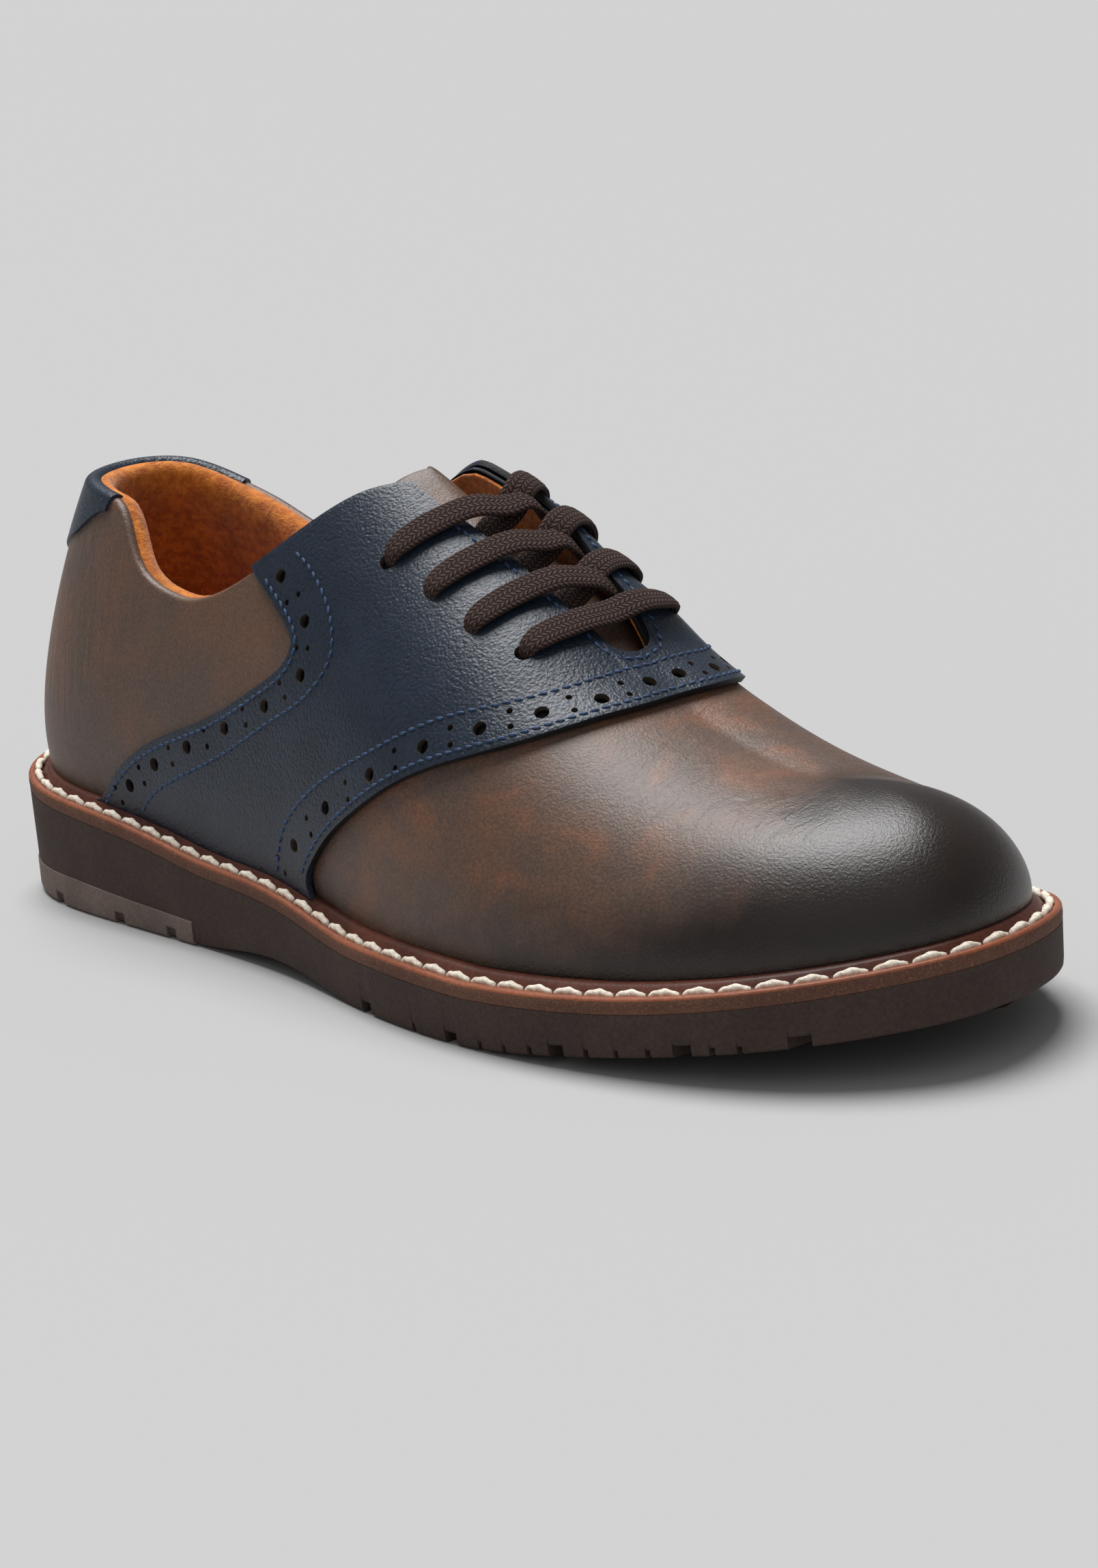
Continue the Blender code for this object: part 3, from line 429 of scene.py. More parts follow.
    def climb_scale(self, share: Array, side: Side, climb: Array) -> Array:
        """Metres along the surface for each unit of climb."""
        angle, step = self.angle(share, side), self.step / 2
        return np.linalg.norm(self.skin(angle, climb) - self.skin(angle, climb - step), axis=-1) / step

    def by_edge(self, share: Array, side: Side, above: Array, depth: Array) -> Array:
        """Point measured from the free edge.

        Args:
            share: Shares along.
            side: Side of the foot.
            above: Distance past the edge along the surface, negative under it.
            depth: Depth under the surface.

        Returns:
            Points in the shoe's frame.
        """
        climb = self.edge(share, side)
        scale = self.climb_scale(share, side, climb)
        return self.place(self.angle(share, side), np.maximum(climb + above / scale, 0.0), depth)

    def pad(self, share: Array) -> Array:
        """Share of the collar's padding: whole round the ankle, none at the facings."""
        return 1 - ease(share, 0.27, 0.37)

    def open_share(self, share: Array) -> Array:
        """1 where the upper is open at the top, 0 where it is closed over the foot."""
        return 1 - ease(share, self.throat_end - 0.012, self.throat_end)

    def beside(self, places: Array, side: Side, distance: float) -> Array:
        """Line beside a line on the surface.

        Args:
            places: Rows of share and rise.
            side: Side of the foot.
            distance: Metres to the left of the line's run, seen from outside on the lateral side.

        Returns:
            Rows of share and rise of the line beside it.
        """
        share, rise = places[:, 0], places[:, 1]
        share_step, rise_step = 0.004, 0.01
        here = self.spot(share, rise, side)
        by_share = (self.spot(share + share_step, rise, side) - here) / share_step
        by_rise = (here - self.spot(share, rise - rise_step, side)) / rise_step
        run = unit(np.gradient(here, axis=0))
        normal = self.normal(self.angle(share, side), rise * RIDGE)
        aside = np.cross(normal, run) * distance * (1 if side is Side.LATERAL else -1)
        moved = []
        for i in range(len(share)):
            basis = np.stack([by_share[i], by_rise[i]], axis=1)
            moved.append(np.linalg.lstsq(basis, aside[i], rcond=None)[0])
        return places + np.array(moved)


def grid(places: Array, layers: Optional[dict[str, Array]] = None,
         uv: Optional[tuple[Array, Array]] = None) -> Mesh:
    """Grid of quads whose points are moved to their places.

    Args:
        places: Points by column and row.
        layers: Values by column and row for each named attribute.
        uv: The two texture coordinates by column and row.

    Returns:
        The mesh under work.
    """
    wide, high = places.shape[:2]
    bm = bmesh.new()
    bmesh.ops.create_grid(bm, x_segments=wide - 1, y_segments=high - 1, size=1.0)
    named = {name: bm.verts.layers.float.new(name) for name in (layers or {})}
    index = {}
    for vertex in bm.verts:
        i = round((vertex.co.x + 1) / 2 * (wide - 1))
        j = round((vertex.co.y + 1) / 2 * (high - 1))
        index[vertex] = (i, j)
        vertex.co = places[i, j]
        for name, layer in named.items():
            vertex[layer] = float(layers[name][i, j])
    if uv is not None:
        sheet = bm.loops.layers.uv.new("weave")
        for face in bm.faces:
            for loop in face.loops:
                i, j = index[loop.vert]
                loop[sheet].uv = (float(uv[0][i, j]), float(uv[1][i, j]))
    return bm


def merged(parts: Sequence[Mesh], weld: float = 1e-5) -> Mesh:
    """Meshes joined into one and welded where they meet.

    Args:
        parts: Meshes, which are used up.
        weld: Distance under which points become one, or 0 for no weld.

    Returns:
        The joined mesh.
    """
    whole = bmesh.new()
    for part in parts:
        mesh = bpy.data.meshes.new("part")
        part.to_mesh(mesh)
        part.free()
        whole.from_mesh(mesh)
        bpy.data.meshes.remove(mesh)
    if weld:
        bmesh.ops.remove_doubles(whole, verts=whole.verts, dist=weld)
    return whole


def closed(bm: Mesh, weld: float = 1e-6) -> Mesh:
    """Mesh with its doubles welded, its open ends filled and its faces turned outward."""
    bmesh.ops.remove_doubles(bm, verts=bm.verts, dist=weld)
    bmesh.ops.holes_fill(bm, edges=[edge for edge in bm.edges if edge.is_boundary], sides=0)
    bmesh.ops.recalc_face_normals(bm, faces=bm.faces)
    return bm


def placed(name: str, bm: Mesh, finishes: Sequence[object]) -> bpy.types.Object:
    """Object of a mesh, linked to the scene.

    Args:
        name: Name of the object.
        bm: Mesh under work, which is used up.
        finishes: Finish of each material index.

    Returns:
        The object.
    """
    mesh = bpy.data.meshes.new(name)
    bm.to_mesh(mesh)
    bm.free()
    for finish in finishes:
        mesh.materials.append(bpy.data.materials.get(finish.name) or finish.build())
    made = bpy.data.objects.new(name, mesh)
    bpy.context.collection.objects.link(made)
    return made


def tube(path: Array, normals: Array, width: Array, thickness: Array, around: int,
         shape: Callable[[Array, Array], Array]) -> Mesh:
    """Closed tube along a path, with a texture map in metres.

    Args:
        path: Points of its middle.
        normals: Direction of its flat side at each point.
        width: Width at each point.
        thickness: Thickness at each point.
        around: Number of sides.
        shape: Swell of the section by angle and by share along.

    Returns:
        The mesh under work, closed at both ends.
    """
    run = unit(np.gradient(path, axis=0))
    aside = unit(np.cross(run, normals))
    flat = np.cross(aside, run)
    angle = np.linspace(0, 2 * np.pi, around + 1)
    count = len(path)
    swell = shape(angle[:, None], np.linspace(0, 1, count)[None, :])
    ends = np.ones(count)
    ends[[0, -1]] = TIP_SHARE
    cos, sin = np.cos(angle), np.sin(angle)
    wide = np.sign(cos) * np.abs(cos) ** 0.75
    places = (path[None] + (wide[:, None] * swell * ends * width / 2)[..., None] * aside[None]
              + (sin[:, None] * swell * ends * thickness / 2)[..., None] * flat[None])
    length = run_length(path)
    girth = np.hypot(np.diff(wide * np.mean(width)), np.diff(sin * np.mean(thickness)))
    girth = np.concatenate([[0], np.cumsum(girth)]) / girth.sum()
    uv = (np.repeat(girth[:, None], count, axis=1),
          np.repeat(length[None, :], around + 1, axis=0))
    return closed(grid(places, uv=uv))


class Nodes:
    """Short way to lay out a material's nodes."""

    def __init__(self, name: str) -> None:
        """Start a material with one shader."""
        self.material = bpy.data.materials.new(name)
        self.material.use_nodes = True
        self.tree = self.material.node_tree
        self.shader = self.tree.nodes["Principled BSDF"]

    def add(self, kind: str, inputs: Optional[dict] = None, **settings: object) -> bpy.types.Node:
        """Node with its settings and inputs.

        Args:
            kind: Node type without its prefix.
            inputs: Value or output socket for each input, by name or number.
            settings: Properties of the node.

        Returns:
            The node.
        """
        node = self.tree.nodes.new("ShaderNode" + kind)
        for key, value in settings.items():
            setattr(node, key, value)
        for key, value in (inputs or {}).items():
            self.feed(node.inputs[key], value)
        return node

    def feed(self, socket: Socket, value: object) -> None:
        """Link an output to a socket, or set its value."""
        if isinstance(value, Socket):
            self.tree.links.new(value, socket)
        else:
            socket.default_value = value

    def dress(self, **inputs: object) -> None:
        """Set the shader's own sockets; an underscore stands for a space."""
        for key, value in inputs.items():
            self.feed(self.shader.inputs[key.replace("_", " ")], value)

    def where(self, scale: Sequence[float] = (1, 1, 1), turned: Sequence[float] = (0, 0, 0)) -> Socket:
        """Object coordinates, stretched and turned."""
        source = self.add("TexCoord").outputs["Object"]
        mapping = self.add("Mapping", {"Vector": source, "Scale": scale, "Rotation": turned})
        return mapping.outputs["Vector"]

    def noise(self, where: Socket, scale: float, detail: float = 2.0,
              rough: float = 0.5, warp: float = 0.0) -> Socket:
        """Cloudy pattern from 0 to 1."""
        node = self.add("TexNoise", {"Vector": where, "Scale": scale, "Detail": detail,
                                     "Roughness": rough, "Distortion": warp})
        return node.outputs["Fac"]

    def cells(self, where: Socket, scale: float) -> Socket:
        """Distance to the nearest cell's middle."""
        node = self.add("TexVoronoi", {"Vector": where, "Scale": scale}, feature="SMOOTH_F1")
        return node.outputs["Distance"]

    def math(self, kind: str, first: object, second: object = 0.0) -> Socket:
        """Result of one sum."""
        return self.add("Math", {0: first, 1: second}, operation=kind).outputs[0]

    def ramp(self, share: Socket, low: float, high: float,
             to_low: float = 0.0, to_high: float = 1.0) -> Socket:
        """Share mapped from one range to another, held at its ends."""
        node = self.add("MapRange", {"Value": share, "From Min": low, "From Max": high,
                                     "To Min": to_low, "To Max": to_high}, interpolation_type="SMOOTHSTEP")
        return node.outputs[0]

    def blend(self, share: object, first: object, second: object, kind: str = "MIX") -> Socket:
        """Two colours mixed by a share."""
        node = self.add("Mix", {0: share, 6: self.colour(first), 7: self.colour(second)},
                        data_type="RGBA", blend_type=kind)
        return node.outputs[2]

    def shade(self, colour: object, tone: Socket) -> Socket:
        """Colour made darker or lighter by a tone."""
        grey = self.add("CombineColor", {0: tone, 1: tone, 2: tone}).outputs[0]
        return self.blend(1.0, colour, grey, "MULTIPLY")

    def colour(self, value: object) -> object:
        """Colour with its alpha, or the socket as it is."""
        return value if isinstance(value, Socket) else (*value, 1.0)

    def mark(self, name: str) -> Socket:
        """Value of a mesh's attribute."""
        return self.add("Attribute", attribute_name=name, attribute_type="GEOMETRY").outputs["Fac"]

    def bump(self, height: Socket, distance: float, strength: float = 1.0,
             over: Optional[Socket] = None) -> Socket:
        """Normal pushed by a height, over an earlier one if given."""
        inputs = {"Height": height, "Distance": distance, "Strength": strength}
        if over is not None:
            inputs["Normal"] = over
        return self.add("Bump", inputs).outputs["Normal"]


@dataclass(frozen=True)
class BurnishedLeatherWithPaintedShade:
    """Smooth brown leather, mottled, burnished almost black at the toe, with painted shade darkening it
    low down by the welt and painted black shade under the saddle.
    """

    name: str = "burnished_brown_painted_shade"
    base: tuple = (0.136, 0.070, 0.043)
    grey: tuple = (0.104, 0.066, 0.050)
    warm: tuple = (0.185, 0.082, 0.044)
    # Near black of the burnished toe, also used for the painted shade low down by the welt.
    dark: tuple = (0.012, 0.008, 0.007)
    # Near black painted on the leather under the saddle, a painted shade seen through the punched holes.
    hole_shade_black: tuple = (0.006, 0.005, 0.005)
    rough: float = 0.45
    polished: float = 0.32
    cloud_scale: float = 34.0
    patch_scale: float = 52.0
    burn_scale: float = 120.0
    grain_scale: float = 1500.0
    grain_depth: float = 0.00022
    crease_scale: tuple = (330, 110, 220)
    crease_turn: tuple = (0.0, 0.0, 0.25)
    upright_scale: tuple = (420, 420, 40)
    fold_depth: float = 0.0006

    def build(self) -> Material:
        """Make the material."""
        n = Nodes(self.name)
        here = n.where()
        clouds = n.ramp(n.noise(here, self.cloud_scale, 3.0, 0.55, 0.4), 0.40, 0.66)
        colour = n.blend(clouds, self.grey, self.base)
        patches = n.ramp(n.noise(here, self.patch_scale, 4.0, 0.6, 0.6), 0.47, 0.70)
        warmth = n.math("MULTIPLY", patches, n.mark("warmth"))
        colour = n.blend(warmth, colour, self.warm)
        speck = n.ramp(n.noise(here, self.grain_scale, 2.0, 0.6), 0.30, 0.75, 0.78, 1.25)
        colour = n.shade(colour, speck)
        # Burnished toe plus painted shade low down and along the feather edge, blended towards near black.
        ragged = n.ramp(n.noise(here, self.burn_scale, 3.0), 0.3, 0.7, -0.10, 0.10)
        burnish_shade_mix = n.math("ADD", n.mark("burnish_and_shade"), ragged)
        burnish_shade_mix = n.math("MULTIPLY", n.ramp(burnish_shade_mix, 0.05, 1.0), 0.96)
        colour = n.blend(burnish_shade_mix, colour, self.dark)
        # Painted shade: the leather under the saddle is near black so its holes look deep.
        colour = n.blend(n.mark("saddle_hole_shade"), colour, self.hole_shade_black)
        rough = n.ramp(n.mark("burnish_and_shade"), 0.0, 1.0, self.rough, self.polished)
        grain = n.bump(n.noise(here, self.grain_scale, 3.0, 0.65), self.grain_depth, 0.7)
        wrinkle = n.noise(n.where(self.crease_scale, self.crease_turn), 1.0, 3.0, 0.55, 0.8)
        wrinkle = n.math("MULTIPLY", wrinkle, n.mark("crease"))
        upright = n.noise(n.where(self.upright_scale), 1.0, 3.0, 0.6, 0.6)
        upright = n.math("MULTIPLY", upright, n.mark("upright"))
        folds = n.bump(n.math("ADD", wrinkle, upright), self.fold_depth, 0.7, grain)
        n.dress(Base_Color=colour, Roughness=rough, Normal=folds, Specular_IOR_Level=0.48)
        return n.material


@dataclass(frozen=True)
class PebbledLeather:
    """Dark blue leather with a fine pebbled grain and a half gloss."""

    name: str = "pebbled_navy"
    base: tuple = (0.0120, 0.0195, 0.0340)
    light: tuple = (0.0175, 0.0275, 0.0460)
    rough: float = 0.37
    cloud_scale: float = 60.0
    pebble_scale: float = 1500.0
    crease_scale: float = 1150.0
    grain_depth: float = 0.00020

    def build(self) -> Material:
        """Make the material."""
        n = Nodes(self.name)
        here = n.where()
        clouds = n.ramp(n.noise(here, self.cloud_scale, 3.0), 0.3, 0.7)
        colour = n.blend(clouds, self.base, self.light)
        pebbles = n.cells(here, self.pebble_scale)
        creases = n.noise(here, self.crease_scale, 3.0, 0.60, 0.6)
        height = n.math("ADD", n.math("MULTIPLY", pebbles, -0.8), creases)
        # Painted shade in the hollows between pebbles and in the creases, painted light on the pebbles'
        # tops.
        colour = n.shade(colour, n.ramp(height, -0.35, 0.30, 0.55, 1.1))
        grain = n.bump(height, self.grain_depth, 0.75)
        n.dress(Base_Color=colour, Roughness=self.rough, Normal=grain, Specular_IOR_Level=0.38)
        return n.material


@dataclass(frozen=True)
class Suede:
    """Napped lining."""

    name: str = "orange_suede"
    base: tuple = (0.80, 0.265, 0.034)
    dark: tuple = (0.50, 0.130, 0.016)
    tuft_scale: float = 420.0
    patch_scale: float = 90.0
    fuzz_scale: float = 1500.0

    def build(self) -> Material:
        """Make the material."""
        n = Nodes(self.name)
        here = n.where()
        tuft = n.noise(here, self.tuft_scale, 4.0, 0.7, 0.4)
        colour = n.blend(n.ramp(tuft, 0.36, 0.66), self.dark, self.base)
        colour = n.shade(colour, n.ramp(n.noise(here, self.patch_scale, 2.0), 0.3, 0.7, 0.82, 1.12))
        fuzz = n.bump(n.noise(here, self.fuzz_scale, 3.0, 0.7), 0.0005, 0.8)
        n.dress(Base_Color=colour, Roughness=0.95, Normal=n.bump(tuft, 0.0008, 0.6, fuzz),
                Sheen_Weight=0.35, Sheen_Roughness=0.5, Specular_IOR_Level=0.15)
        return n.material


@dataclass(frozen=True)
class Braid:
    """Flat braided cord: slanted stitches in lengthwise ribs, from the piece's own map."""

    name: str = "lace_braid"
    base: tuple = (0.100, 0.056, 0.046)
    dark: tuple = (0.016, 0.009, 0.008)
    ribs: float = 6.0
    pitch: float = 0.0012
    fuzz_scale: float = 2500.0

    def build(self) -> Material:
        """Make the material."""
        n = Nodes(self.name)
        split = n.add("SeparateXYZ", {0: n.add("UVMap", uv_map="weave").outputs[0]})
        rib = n.math("PINGPONG", n.math("MULTIPLY", split.outputs[0], self.ribs * 2), 1.0)
        slant = n.math("ADD", n.math("DIVIDE", split.outputs[1], self.pitch), n.math("MULTIPLY", rib, 0.9))
        wave = n.math("PINGPONG", slant, 0.5)
        wave = n.ramp(n.math("MULTIPLY", wave, 2.0), 0.05, 0.75)
        edge = n.math("PINGPONG", rib, 0.5)
        edge = n.ramp(n.math("MULTIPLY", edge, 2.0), 0.0, 0.45)
        height = n.math("MULTIPLY", wave, edge)
        fuzz = n.noise(n.where(), self.fuzz_scale, 3.0, 0.7)
        # Painted shade in the grooves between ribs and stitches, painted light on their raised middles.
        lit = n.math("MULTIPLY", height, n.ramp(fuzz, 0.2, 0.8, 0.65, 1.1))
        n.dress(Base_Color=n.blend(lit, self.dark, self.base), Roughness=0.85,
                Normal=n.bump(height, 0.00045, 0.9, n.bump(fuzz, 0.0002, 0.6)),
                Specular_IOR_Level=0.25)
        return n.material


@dataclass(frozen=True)
class Thread:
    """Twisted sewing thread, from its colours."""

    name: str
    base: tuple
    dark: tuple
    rough: float = 0.6
    grain: float = 1800.0

    def build(self) -> Material:
        """Make the material."""
        n = Nodes(self.name)
        here = n.where()
        fibre = n.noise(here, self.grain, 3.0, 0.6)
        colour = n.blend(n.ramp(fibre, 0.3, 0.7), self.dark, self.base)
        n.dress(Base_Color=colour, Roughness=self.rough, Normal=n.bump(fibre, 0.00015, 0.6),
                Specular_IOR_Level=0.3)
        return n.material


@dataclass(frozen=True)
class Grained:
    """Plain finish with a fine grain and slight clouds: rubber, raw edges, the welt."""

    name: str
    base: tuple
    dark: tuple
    rough: float
    grain: float
    depth: float
    clouds: float = 60.0
    speck_scale: float = 2200.0
    specks: float = 0.0
    speck: tuple = (0.3, 0.16, 0.1)

    def build(self) -> Material:
        """Make the material."""
        n = Nodes(self.name)
        here = n.where()
        colour = n.blend(n.ramp(n.noise(here, self.clouds, 3.0), 0.3, 0.7), self.dark, self.base)
        pores = n.noise(here, self.grain, 3.0, 0.65)
        colour = n.shade(colour, n.ramp(pores, 0.25, 0.75, 0.78, 1.18))
        if self.specks:
            flecks = n.ramp(n.noise(here, self.speck_scale, 2.0), 0.58, 0.70)
            spots = n.math("MULTIPLY", flecks, self.specks)
            colour = n.blend(spots, colour, self.speck)
        n.dress(Base_Color=colour, Roughness=self.rough, Normal=n.bump(pores, self.depth, 0.7),
                Specular_IOR_Level=0.25)
        return n.material


@dataclass(frozen=True)
class Paper:
    """Even pale paper of the floor."""

    name: str = "floor_paper"
    tone: float = 0.437
    fibre_scale: float = 900.0

    def build(self) -> Material:
        """Make the material."""
        n = Nodes(self.name)
        fibre = n.ramp(n.noise(n.where(), self.fibre_scale, 2.0), 0.2, 0.8)
        colour = n.blend(fibre, (self.tone,) * 3, (self.tone * 1.01,) * 3)
        n.dress(Base_Color=colour, Roughness=0.9, Specular_IOR_Level=0.1)
        return n.material


NAVY_THREAD = Thread("navy_thread", (0.055, 0.110, 0.230), (0.018, 0.036, 0.085))
CREAM_THREAD = Thread("cream_thread", (0.92, 0.86, 0.76), (0.64, 0.54, 0.42), 0.7, 1400.0)
EDGE_PAINT = Grained("edge_paint", (0.012, 0.012, 0.014), (0.005, 0.005, 0.006), 0.6, 1800, 0.0002)
RAW_EDGE = Grained("raw_edge", (0.10, 0.075, 0.055), (0.02, 0.017, 0.015), 0.8, 1800, 0.0002)
WELT_EDGE = Grained("welt_edge", (0.150, 0.070, 0.044), (0.115, 0.052, 0.034), 0.75, 1500, 0.0002,
                    specks=0.5, speck=(0.34, 0.18, 0.11))
# The welt's top face is coloured lighter and more orange than its edge, a painted highlight.
WELT_TOP_HIGHLIGHT = Grained("welt_top_painted_highlight", (0.300, 0.095, 0.045), (0.225, 0.068, 0.032), 0.45, 900, 0.0001)
WELT_LIP = Grained("welt_lip", (0.115, 0.035, 0.020), (0.075, 0.022, 0.014), 0.38, 700, 0.0001)
SOLE_FOAM = Grained("dark_foam", (0.0720, 0.0470, 0.0400), (0.0560, 0.0370, 0.0310), 0.78, 1100, 0.0003)
HEEL_RUBBER = Grained("inlay_rubber", (0.200, 0.150, 0.128), (0.155, 0.118, 0.100), 0.72, 1400, 0.0002)


@dataclass
class Piece:
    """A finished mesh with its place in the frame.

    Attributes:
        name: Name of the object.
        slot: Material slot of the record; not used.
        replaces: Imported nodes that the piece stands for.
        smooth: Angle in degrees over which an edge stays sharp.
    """

    name: str
    slot: str
    replaces: tuple = ()
    smooth: float = 50.0

    def publish(self, bm: Mesh, finishes: Sequence[object]) -> None:
        """Make the object and let it ride on the shoe.

        Args:
            bm: Mesh under work, which is used up.
            finishes: Finish of each material index.
        """
        made = placed(self.name, bm, finishes)
        made.data.shade_smooth()
        made.data.set_sharp_from_angle(angle=np.radians(self.smooth))
        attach(made, "root")
        if self.replaces:
            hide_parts(*self.replaces)
        triangles = sum(len(face.vertices) - 2 for face in made.data.polygons)
        LOG.info("%s: %d triangles", self.name, triangles)


def stitches(places: Array, normals: Array, pitch: float, length: float, width: float,
             slant: float = 0.0) -> Mesh:
    """Row of short threads that dip into the leather at both ends.

    Args:
        places: Points along the seam.
        normals: Outward directions there.
        pitch: Distance from one stitch to the next.
        length: Length of a stitch.
        width: Its width.
        slant: Turn of each stitch in radians.

    Returns:
        The mesh under work.
    """
    gone = run_length(places)
    count = max(int(gone[-1] / pitch), 1)
    stops = (np.arange(count) + 0.5) * gone[-1] / count
    template = bpy.data.meshes.new("stitch")
    one = bmesh.new()
    bmesh.ops.create_uvsphere(one, u_segments=8, v_segments=6, radius=0.5)
    one.to_mesh(template)
    one.free()
    bm = bmesh.new()
    for stop in stops:
        spot, ahead, normal = (
            np.array([np.interp(s, gone, column) for column in source.T])
            for s, source in ((stop, places), (stop + pitch / 10, places), (stop, normals)))
        run = ahead - spot
        if np.linalg.norm(run) < 1e-9:
            continue
        up = Vector(normal).normalized()
        side = up.cross(Vector(run)).normalized()
        axes = Matrix((side.cross(up), side, up)).transposed().to_4x4()
        size = Matrix.Diagonal((length, width, width * 0.8, 1.0))
        spin = Matrix.Rotation(slant, 4, "Z")
        where = Matrix.Translation(Vector(spot) + up * width * 0.1) @ axes @ spin @ size
        template.transform(where)
        bm.from_mesh(template)
        template.transform(where.inverted())
    bpy.data.meshes.remove(template)
    return bm


@dataclass
class Upper:
    """Vamp and quarters with their rolled edge, and the padded lining inside."""

    last: Last
    collar_roll: float = 1.5 * MM
    facing_roll: float = 0.8 * MM
    faced_from: float = 0.345
    hole_shade_back: float = 0.337
    tuck: float = 0.006
    rows: int = 84
    roll_angles: tuple = (18, 36, 54, 72, 90, 106, 120)
    padded: tuple = (
        (-0.9, 1.7), (-0.2, 1.9), (0.4, 2.6), (0.7, 3.5), (0.7, 4.5), (0.3, 5.5), (-0.6, 6.4),
        (-2.2, 7.2), (-4.6, 7.6), (-7.5, 7.5), (-11.0, 7.0), (-15.0, 6.2),
    )
    thin: tuple = (
        (-0.9, 1.2), (-0.7, 1.5), (-0.5, 1.7), (-0.4, 1.9), (-0.4, 2.1), (-0.6, 2.3), (-1.0, 2.4),
        (-2.0, 2.4), (-4.0, 2.4), (-7.0, 2.4), (-11.0, 2.4), (-15.0, 2.4),
    )

    def shares(self) -> Array:
        """Shares along of the columns, dense at the throat's end."""
        even = crowded(250)
        dense = np.linspace(self.last.throat_end - 0.024, self.last.throat_end, 18)
        kept = even[(even < dense[0] - 0.001) | (even > dense[-1] + 0.001)]
        return np.sort(np.concatenate([kept, dense]))

    def leather_side(self, side: Side) -> Mesh:
        """Outer skin of one side, from the feather edge over the rolled edge."""
        last = self.last
        share = self.shares()
        opened = last.open_share(share)
        pad = last.pad(share)
        roll = (pad * self.collar_roll + (1 - pad) * self.facing_roll) * opened
        edge = last.edge(share, side)
        bend = roll / last.climb_scale(share, side, edge)
        body = (edge - bend)[:, None] * np.linspace(0, 1, self.rows) ** 1.05
        angle = np.radians(self.roll_angles)
        rolled = (edge - bend)[:, None] + bend[:, None] * np.sin(angle)
        foot = np.zeros((len(share), 1))
        climb = np.concatenate([foot, body, rolled], axis=1)
        depth = np.concatenate([foot, np.zeros_like(body), roll[:, None] * (1 - np.cos(angle))], axis=1)
        places = last.place(last.angle(share, side)[:, None], climb, depth)
        places[:, 0, 2] = last.deck(share)
        wide = np.repeat(share[:, None], climb.shape[1], axis=1)
        bm = grid(places, self.marks(wide, climb / RIDGE))
        for face in bm.faces:
            along = (face.calc_center_median().x + last.centre[0]) / last.length
            if along > self.faced_from and self.is_roll(face, bm):
                face.material_index = 1 if along > last.painted_from else 2
        return bm

    def is_roll(self, face: bmesh.types.BMFace, bm: Mesh) -> bool:
        """Whether a face is on the rolled edge."""
        layer = bm.verts.layers.float["roll"]
        return min(vertex[layer] for vertex in face.verts) > 0.5

    def marks(self, share: Array, rise: Array) -> dict[str, Array]:
        """Attributes that the leather's material reads.

        Args:
            share: Shares along by column and row.
            rise: Rises by column and row.

        Returns:
            Values for each attribute.
        """
        last = self.last
        # The toe's darkening is a burnished finish; the extra darkening lower down and the band along the
        # feather edge are painted shade.
        fore = ease(share, 0.48, 0.80)
        foot = 1 - np.clip((rise - 0.02) / (0.15 + 0.14 * fore), 0, 1) ** 0.8
        toe = ease(share + 0.07 * (1 - rise), 0.82, 1.03)
        burnish_and_shade = np.clip(1.1 * toe + foot * (0.34 + 0.62 * fore), 0, 1)
        # Painted shade: the leather under the saddle is marked to be painted near black for the holes.
        start = np.where(rise < last.behind_rise, last.back_at(rise), 0.30) + self.tuck
        hole_shaded = (share > start) & (share < last.front_at(rise) - self.tuck)
        hole_shaded &= (rise <= 0.50) | (share >= self.hole_shade_back)
        crease = band(share, 0.70, 0.80, 0.90, 0.97) * ease(rise, 0.35, 0.7)
        quarter = (1 - ease(share, 0.10, 0.24)) * band(rise, 0.10, 0.22, 0.42, 0.55)
        # The last rows are the roll, with one row of the body under it.
        rolled = np.zeros_like(share)
        rolled[:, -1 - len(self.roll_angles):] = 1.0
        warmth = 0.35 + 0.65 * ease(share, 0.42, 0.55)
        return {"burnish_and_shade": burnish_and_shade, "saddle_hole_shade": hole_shaded.astype(float), "crease": crease, "upright": quarter,
                "roll": rolled, "warmth": warmth}

    def lining_side(self, side: Side) -> Mesh:
        """Inner skin of one side, from inside the rolled edge down to the insole."""
        last = self.last
        share = self.shares()[::2]
        pad, opened = last.pad(share)[:, None], last.open_share(share)[:, None]
        soft, flat = np.array(self.padded) * MM, np.array(self.thin) * MM
        above = (pad * soft[:, 0] + (1 - pad) * flat[:, 0]) * opened
        depth = pad * soft[:, 1] + (1 - pad) * flat[:, 1]
        depth = depth * opened + flat[-1, 1] * (1 - opened)
        edge = last.edge(share, side)
        scale = last.climb_scale(share, side, edge)
        top = edge[:, None] + above / scale[:, None]
        fall = np.linspace(0, 1, 30)[1:]
        low = top[:, -1:] * (1 - fall)
        low_depth = depth[:, -1:] + (flat[-1, 1] - depth[:, -1:]) * ease(fall, 0.0, 0.55)
        climb = np.concatenate([top, low], axis=1)
        depth = np.concatenate([depth, low_depth], axis=1)
        return grid(last.place(last.angle(share, side)[:, None], climb, depth))

    def build(self) -> None:
        """Make both pieces."""
        leather = merged([self.leather_side(side) for side in Side])
        bmesh.ops.recalc_face_normals(leather, faces=leather.faces)
        Piece("upper_leather", "brown_leather", ("upper",), 80).publish(
            leather, (BurnishedLeatherWithPaintedShade(), EDGE_PAINT, PebbledLeather()))
        lining = merged([self.lining_side(side) for side in Side])
        bmesh.ops.recalc_face_normals(lining, faces=lining.faces)
        bmesh.ops.reverse_faces(lining, faces=lining.faces)
        Piece("collar_lining", "lining_suede", (), 80).publish(lining, (Suede(),))


